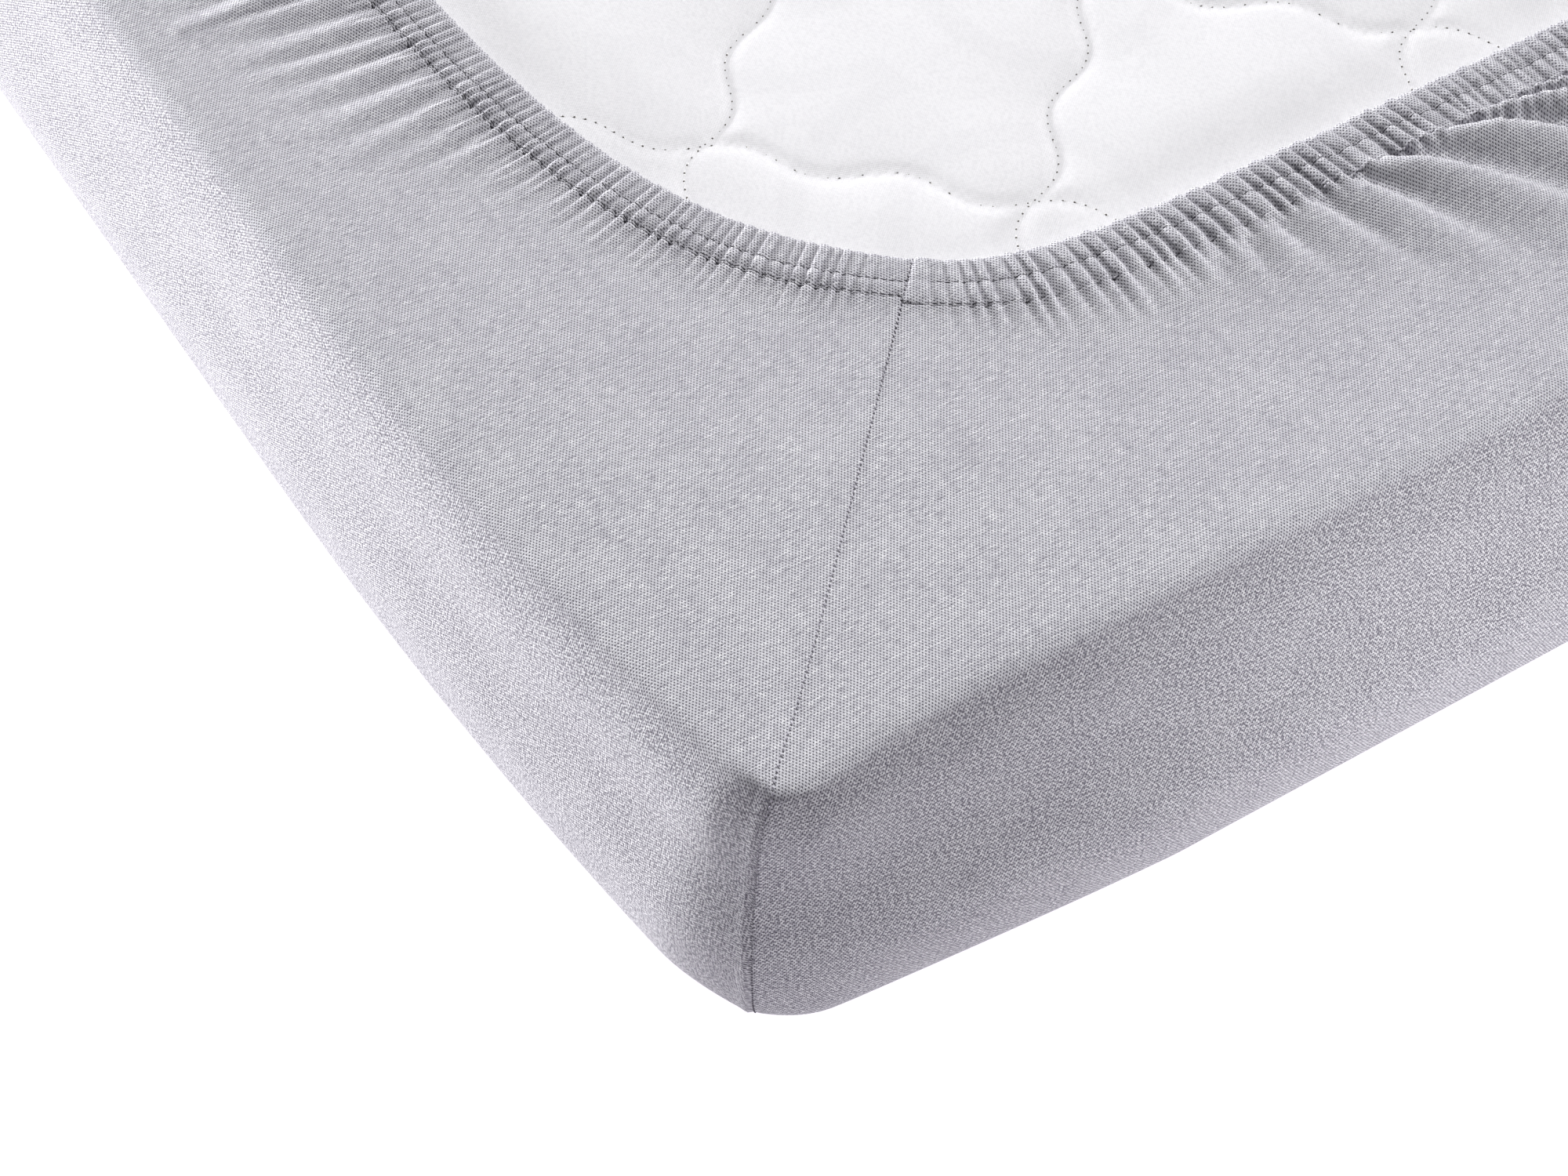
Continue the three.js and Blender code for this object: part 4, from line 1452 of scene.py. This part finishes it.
@dataclass(frozen=True)
class JerseyFinish:
    """Melange cotton jersey, single knit: pale lilac-grey yarn with light and dark fibres in it.

    The holes between its loops make a fine staggered grain, and the melange makes short flecks
    along the courses. Where the cloth stands upright it also shows loose flecks of single loops.
    The valleys between the hem's puckers get painted shade, by the mesh's attribute `hollow`. The
    grain is drawn about twice as coarse as real jersey, so that it shows.
    """

    yarn: str = "c0bfc6"
    light_yarn: str = "e6e5e8"
    dark_yarn: str = "75727d"
    loose_loop: str = "ebeaed"
    nep: str = "eae9ec"
    hole: str = "3f3c46"
    painted_valley_shade: str = "55525d"  # painted shade in the valleys between the hem's puckers
    wale_pitch: float = 1.3  # drawn size; real wales are 0.5 to 0.65 apart
    course_pitch: float = 1.0  # drawn size; real courses are about 0.45 apart
    # Noise scales in 1/m: across the wales, along them and out of the cloth.
    fleck_scale: tuple[float, float, float] = (260.0, 1150.0, 1.0)
    streak_scale: tuple[float, float, float] = (45.0, 420.0, 1.0)
    cloud_scale: tuple[float, float, float] = (38.0, 38.0, 1.0)
    loose_scale: tuple[float, float, float] = (800.0, 1050.0, 1.0)
    nep_scale: float = 190.0
    drift_scale: float = 160.0  # the wales wander by the drift, in metres
    drift: float = 0.00035
    fuzz: float = 0.8  # share of the flecks in the bump
    bump_strength: float = 0.6
    bump_height: float = 0.0005
    roughness: float = 0.92
    specular: float = 0.2
    sheen: float = 0.12
    sheen_roughness: float = 0.6

    def material(self) -> bpy.types.Material:
        """Builds the material."""
        make = Finish("melange_cotton_jersey")
        uv = add_node(make.tree, "ShaderNodeUVMap", uv_map="cloth").outputs[0]
        holes = self._holes(make, uv)
        fleck = make.noise(uv, self.fleck_scale, 3.0)
        streak = make.noise(uv, self.streak_scale)
        cloud = make.noise(uv, self.cloud_scale)
        loose = make.noise(uv, self.loose_scale)
        facing = add_node(make.tree, "ShaderNodeNewGeometry").outputs["Normal"]
        up = add_node(make.tree, "ShaderNodeSeparateXYZ", {0: facing}).outputs[2]
        slack = make.ramp(make.math("ABSOLUTE", up), 0.75, 0.35)
        lights = make.times(make.ramp(loose, 0.5, 0.6), slack)
        darks = make.times(make.ramp(loose, 0.5, 0.4), slack)
        neps = make.ramp(make.cells(uv, self.nep_scale), 0.16, 0.08)
        hollow = add_node(make.tree, "ShaderNodeAttribute", attribute_name="hollow").outputs["Fac"]
        colour = linear(self.yarn)
        for mask, strength, to in (
            (make.ramp(fleck, 0.5, 0.72), 0.85, self.light_yarn),
            (make.ramp(fleck, 0.48, 0.3), 0.6, self.dark_yarn),
            (lights, 0.85, self.loose_loop),
            (darks, 0.85, self.dark_yarn),
            (make.ramp(streak, 0.3, 0.7), 0.16, self.dark_yarn),
            (make.ramp(cloud, 0.35, 0.7), 0.12, self.light_yarn),
            (neps, 0.35, self.nep),
            (holes, 0.85, self.hole),
            # painted shade in the valleys between the hem's puckers, by the attribute hollow
            (hollow, 0.4, self.painted_valley_shade),
        ):
            colour = make.tint(colour, mask, strength, to)
        height = make.math("ADD", make.times(holes, -1.0), make.times(fleck, self.fuzz))
        return make.close(
            colour,
            Normal=make.bump(height, self.bump_strength, self.bump_height),
            Roughness=self.roughness,
            Specular_IOR_Level=self.specular,
            Sheen_Weight=self.sheen,
            Sheen_Roughness=self.sheen_roughness,
        )

    def _holes(self, make: Finish, uv: bpy.types.NodeSocket) -> bpy.types.NodeSocket:
        """Where the holes between the loops are, in rows that wander a little."""
        wander = {"Vector": uv, "Scale": self.drift_scale, "Detail": 1.0}
        drift = add_node(make.tree, "ShaderNodeTexNoise", wander).outputs[1]
        size = (self.drift, self.drift, 0.0)
        vector = "ShaderNodeVectorMath"
        moved = add_node(make.tree, vector, {0: drift, 1: size}, operation="MULTIPLY").outputs[0]
        cloth = add_node(make.tree, vector, {0: uv, 1: moved}, operation="ADD").outputs[0]
        axes = add_node(make.tree, "ShaderNodeSeparateXYZ", {"Vector": cloth}).outputs
        across = make.times(axes[0], 2 * math.pi / (self.wale_pitch * MM))
        along = make.times(axes[1], math.pi / (self.course_pitch * MM))
        lattice = make.times(make.math("COSINE", across), make.math("COSINE", along))
        return make.ramp(lattice, 0.05, 0.85)


@dataclass(frozen=True)
class DamaskFinish:
    """Woven white mattress ticking with a faint satin figure: plain rings and ribs, no picture."""

    ground: str = "e2e1e4"
    shade: str = "c8c7cb"
    weave_pitch: float = 1.25
    weft_share: float = 1.15  # the weft is this much closer than the warp
    grain_scale: tuple[float, float, float] = (900.0, 500.0, 900.0)
    figure_scale: float = 8.5
    figure_randomness: float = 0.75
    ribs: float = 19.0
    bump_strength: float = 0.3
    bump_height: float = 0.0003
    roughness: float = 0.8
    specular: float = 0.3

    def material(self) -> bpy.types.Material:
        """Builds the material."""
        make = Finish("white_woven_ticking")
        place = add_node(make.tree, "ShaderNodeTexCoord").outputs["Object"]
        axes = add_node(make.tree, "ShaderNodeSeparateXYZ", {"Vector": place}).outputs
        turn = 2 * math.pi / (self.weave_pitch * MM)
        warp = make.math("SINE", make.times(axes[0], turn))
        weft = make.math("SINE", make.times(axes[1], turn * self.weft_share))
        weave = make.times(warp, weft)
        grain = make.noise(place, self.grain_scale)
        figure = make.cells(place, self.figure_scale, self.figure_randomness)
        satin = make.ramp(make.math("SINE", make.times(figure, self.ribs)), 0.45, 0.75)
        colour = linear(self.ground)
        for mask, strength in (
            (make.ramp(grain, 0.35, 0.75), 0.4),
            (make.ramp(weave, 0.1, 0.8), 0.42),
            (satin, make.ramp(weave, -0.2, 0.6, (0.04, 0.30))),
        ):
            colour = make.tint(colour, mask, strength, self.shade)
        height = make.math("ADD", make.times(weave, 0.5), grain)
        return make.close(
            colour,
            Normal=make.bump(height, self.bump_strength, self.bump_height),
            Roughness=self.roughness,
            Specular_IOR_Level=self.specular,
        )


@dataclass(frozen=True)
class ThreadFinish:
    """Spun polyester sewing thread: matt, with a fine twist. It also colours the dark beads that
    are painted shade in the needle holes.
    """

    name: str
    colour: str
    shade: str
    twist_scale: float = 2200.0
    roughness: float = 0.75

    def material(self) -> bpy.types.Material:
        """Builds the material."""
        make = Finish(self.name)
        place = add_node(make.tree, "ShaderNodeTexCoord").outputs["Object"]
        twist = make.noise(place, (self.twist_scale,) * 3, 1.0)
        colour = make.tint(linear(self.colour), make.ramp(twist, 0.35, 0.65), 1.0, self.shade)
        return make.close(colour, Roughness=self.roughness)


# ---- The studio ------------------------------------------------------------------------
@dataclass(frozen=True)
class Softbox:
    """A broad lamp: its middle, the point it faces, its sides in metres, power and beam."""

    name: str
    at: tuple[float, float, float]
    towards: tuple[float, float, float]
    width: float
    height: float
    power: float
    spread: float = 180.0


@dataclass
class Studio:
    """A glowing white floor, a high far lamp, two low softboxes and the camera."""

    sweep_flat: float = 9.0
    sweep_rise: float = 4.0
    sweep_squat: float = 0.45  # height of the rim's turn over its width
    floor_drop: float = 0.0006
    floor_glow: float = 1.0
    glow_colour: tuple[float, float, float, float] = (1.04, 1.0, 1.075, 1.0)
    floor_colour: str = "3a3a3b"
    top: float = 4.35
    top_from: tuple[float, float, float] = (0.54, 0.37, 0.755)
    top_softness: float = 16.0
    boxes: tuple[Softbox, ...] = (
        Softbox("left_softbox", (-1.95, 2.2, 0.3), (-0.45, -0.94, 0.08), 1.2, 0.6, 23.0, 48.0),
        Softbox("right_softbox", (0.5, -1.8, 0.3), (-0.09, -1.0, 0.09), 0.28, 0.28, 0.34, 27.5),
    )
    camera_at: tuple[float, float, float] = (-0.70157, -1.48363, 1.0453)
    camera_right: tuple[float, float, float] = (0.85163, -0.52414, 0.0)
    camera_forward: tuple[float, float, float] = (0.32015, 0.52019, -0.79177)
    lens: float = 75.6
    sensor: float = 36.0
    nearest: float = 0.05
    farthest: float = 60.0

    def build(self) -> None:
        """Sets out the whole studio."""
        self._sweep()
        self._top_light()
        for box in self.boxes:
            self._softbox(box)
        self._sky()
        self._camera()

    def _sweep(self) -> None:
        """A round white floor whose rim turns up far away."""
        around = np.linspace(0, 2 * np.pi, 96, endpoint=False)
        radii = [2.0, 5.0, self.sweep_flat]
        heights = [0.0, 0.0, 0.0]
        for angle in np.radians([20, 40, 60, 78]):
            radii.append(self.sweep_flat + self.sweep_rise * math.sin(angle))
            heights.append(self.sweep_rise * self.sweep_squat * (1 - math.cos(angle)))
        points = [(0.0, 0.0, -self.floor_drop)]
        faces = []
        for radius, height in zip(radii, heights):
            z = height - self.floor_drop
            points += [(radius * math.cos(a), radius * math.sin(a), z) for a in around]
        count = len(around)
        for i in range(count):
            after = (i + 1) % count
            faces.append((0, 1 + i, 1 + after))
            for ring in range(len(radii) - 1):
                a, b = 1 + ring * count, 1 + (ring + 1) * count
                faces.append((a + i, b + i, b + after, a + after))
        mesh = bpy.data.meshes.new("floor")
        mesh.from_pydata(points, [], faces)
        mesh.polygons.foreach_set("use_smooth", [True] * len(faces))
        floor = linked("floor", mesh)
        white = Finish("white_studio_floor").close(
            linear(self.floor_colour),
            Roughness=1.0,
            Specular_IOR_Level=0.0,
            Emission_Color=self.glow_colour,
            Emission_Strength=self.floor_glow,
        )
        mesh.materials.append(white)
        floor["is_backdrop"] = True

    def _lamp(self, data: bpy.types.Light, source: Vector) -> bpy.types.Object:
        """A lamp that shines from the direction of a source."""
        lamp = linked(data.name, data)
        lamp.rotation_mode = "QUATERNION"
        lamp.rotation_quaternion = source.to_track_quat("Z", "Y")
        return lamp

    def _softbox(self, box: Softbox) -> None:
        """One softbox, which the camera doesn't see."""
        data = bpy.data.lights.new(box.name, "AREA")
        data.shape = "RECTANGLE"
        data.size, data.size_y = box.width, box.height
        data.energy = box.power
        data.spread = math.radians(box.spread)
        lamp = self._lamp(data, Vector(box.at) - Vector(box.towards))
        lamp.location = box.at
        lamp.visible_camera = False

    def _top_light(self) -> None:
        """The high far lamp, softened like a window."""
        data = bpy.data.lights.new("top_light", "SUN")
        data.energy = self.top
        data.angle = math.radians(self.top_softness)
        self._lamp(data, Vector(self.top_from))

    def _sky(self) -> None:
        """A sky that gives no light of its own, and plain colour handling."""
        world = bpy.data.worlds.new("studio_sky")
        world.use_nodes = True
        world.node_tree.nodes["Background"].inputs["Strength"].default_value = 0.0
        bpy.context.scene.world = world
        bpy.context.scene.view_settings.view_transform = "Standard"

    def _camera(self) -> None:
        """The camera, over the front left corner."""
        data = bpy.data.cameras.new("camera")
        data.sensor_width = self.sensor
        data.lens = self.lens
        data.clip_start, data.clip_end = self.nearest, self.farthest
        camera = linked("camera", data)
        right = Vector(self.camera_right).normalized()
        forward = Vector(self.camera_forward).normalized()
        up = right.cross(forward)
        turn = Matrix((right, up, -forward)).transposed().to_4x4()
        camera.matrix_world = Matrix.Translation(self.camera_at) @ turn
        bpy.context.scene.camera = camera


def write_sizes() -> None:
    """Puts the model's box and the dressed box into plain lists, which are not written anywhere."""
    boxes = {"cad": CAD_BOX, "visual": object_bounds()}
    plain = {name: [list(corner) for corner in box] for name, box in boxes.items()}


def dress(obj: bpy.types.Object, material: bpy.types.Material) -> bpy.types.Object:
    """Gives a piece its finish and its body."""
    if not obj.data.materials:
        obj.data.materials.append(material)
    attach(obj, ROOT)
    triangles = sum(len(face.vertices) - 2 for face in obj.data.polygons)
    LOG.info("%s: %d triangles", obj.name, triangles)
    return obj


def main() -> None:
    """Builds the piece's parts in order."""
    logging.basicConfig(level=logging.INFO, format="%(name)s %(message)s")
    Studio().build()
    gathered = Gathered()
    jersey = JerseyFinish().material()
    ticking = DamaskFinish().material()
    grey_thread = ThreadFinish("grey_sewing_thread", "4b4a50", "6d6b72").material()
    white_thread = ThreadFinish("white_quilting_thread", "f6f5f4", "dcdad8").material()
    # painted shade in the quilting's needle holes, on dark flattened beads
    hole = ThreadFinish("needle_hole_shade", "6f6c68", "5c5955").material()

    sheet_cloth = JerseySheet(gathered)
    sheet = dress(sheet_cloth.build(), jersey)
    hem = dress(HemBand(gathered).build(), jersey)
    seam_thread = ThreadFinish("seam_overlock_thread", "6c6973", "96939d").material()
    stitching = HemStitching(gathered, grey_thread, seam_thread)
    rows = dress(stitching.build_rows(), grey_thread)
    seams = dress(stitching.build_seams(sheet_cloth.outer_rings()), seam_thread)
    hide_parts("sheet")

    quilt = QuiltedMattress()
    cover = dress(quilt.build(sheet_cloth), ticking)
    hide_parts("mattress")
    lines = quilt.quilt_lines()
    thread_run = StitchRun("quilting_thread", quilt.stitch, white_thread)
    dress(thread_run.build(lines, closed=False), white_thread)
    # dark beads along the quilting lines: painted shade in the needle holes
    hole_shade_run = StitchRun("quilting_needle_hole_painted_shade", quilt.painted_hole_shade, hole)
    dress(hole_shade_run.build(lines, closed=False), hole)

    write_sizes()


if __name__ == "__main__":
    main()
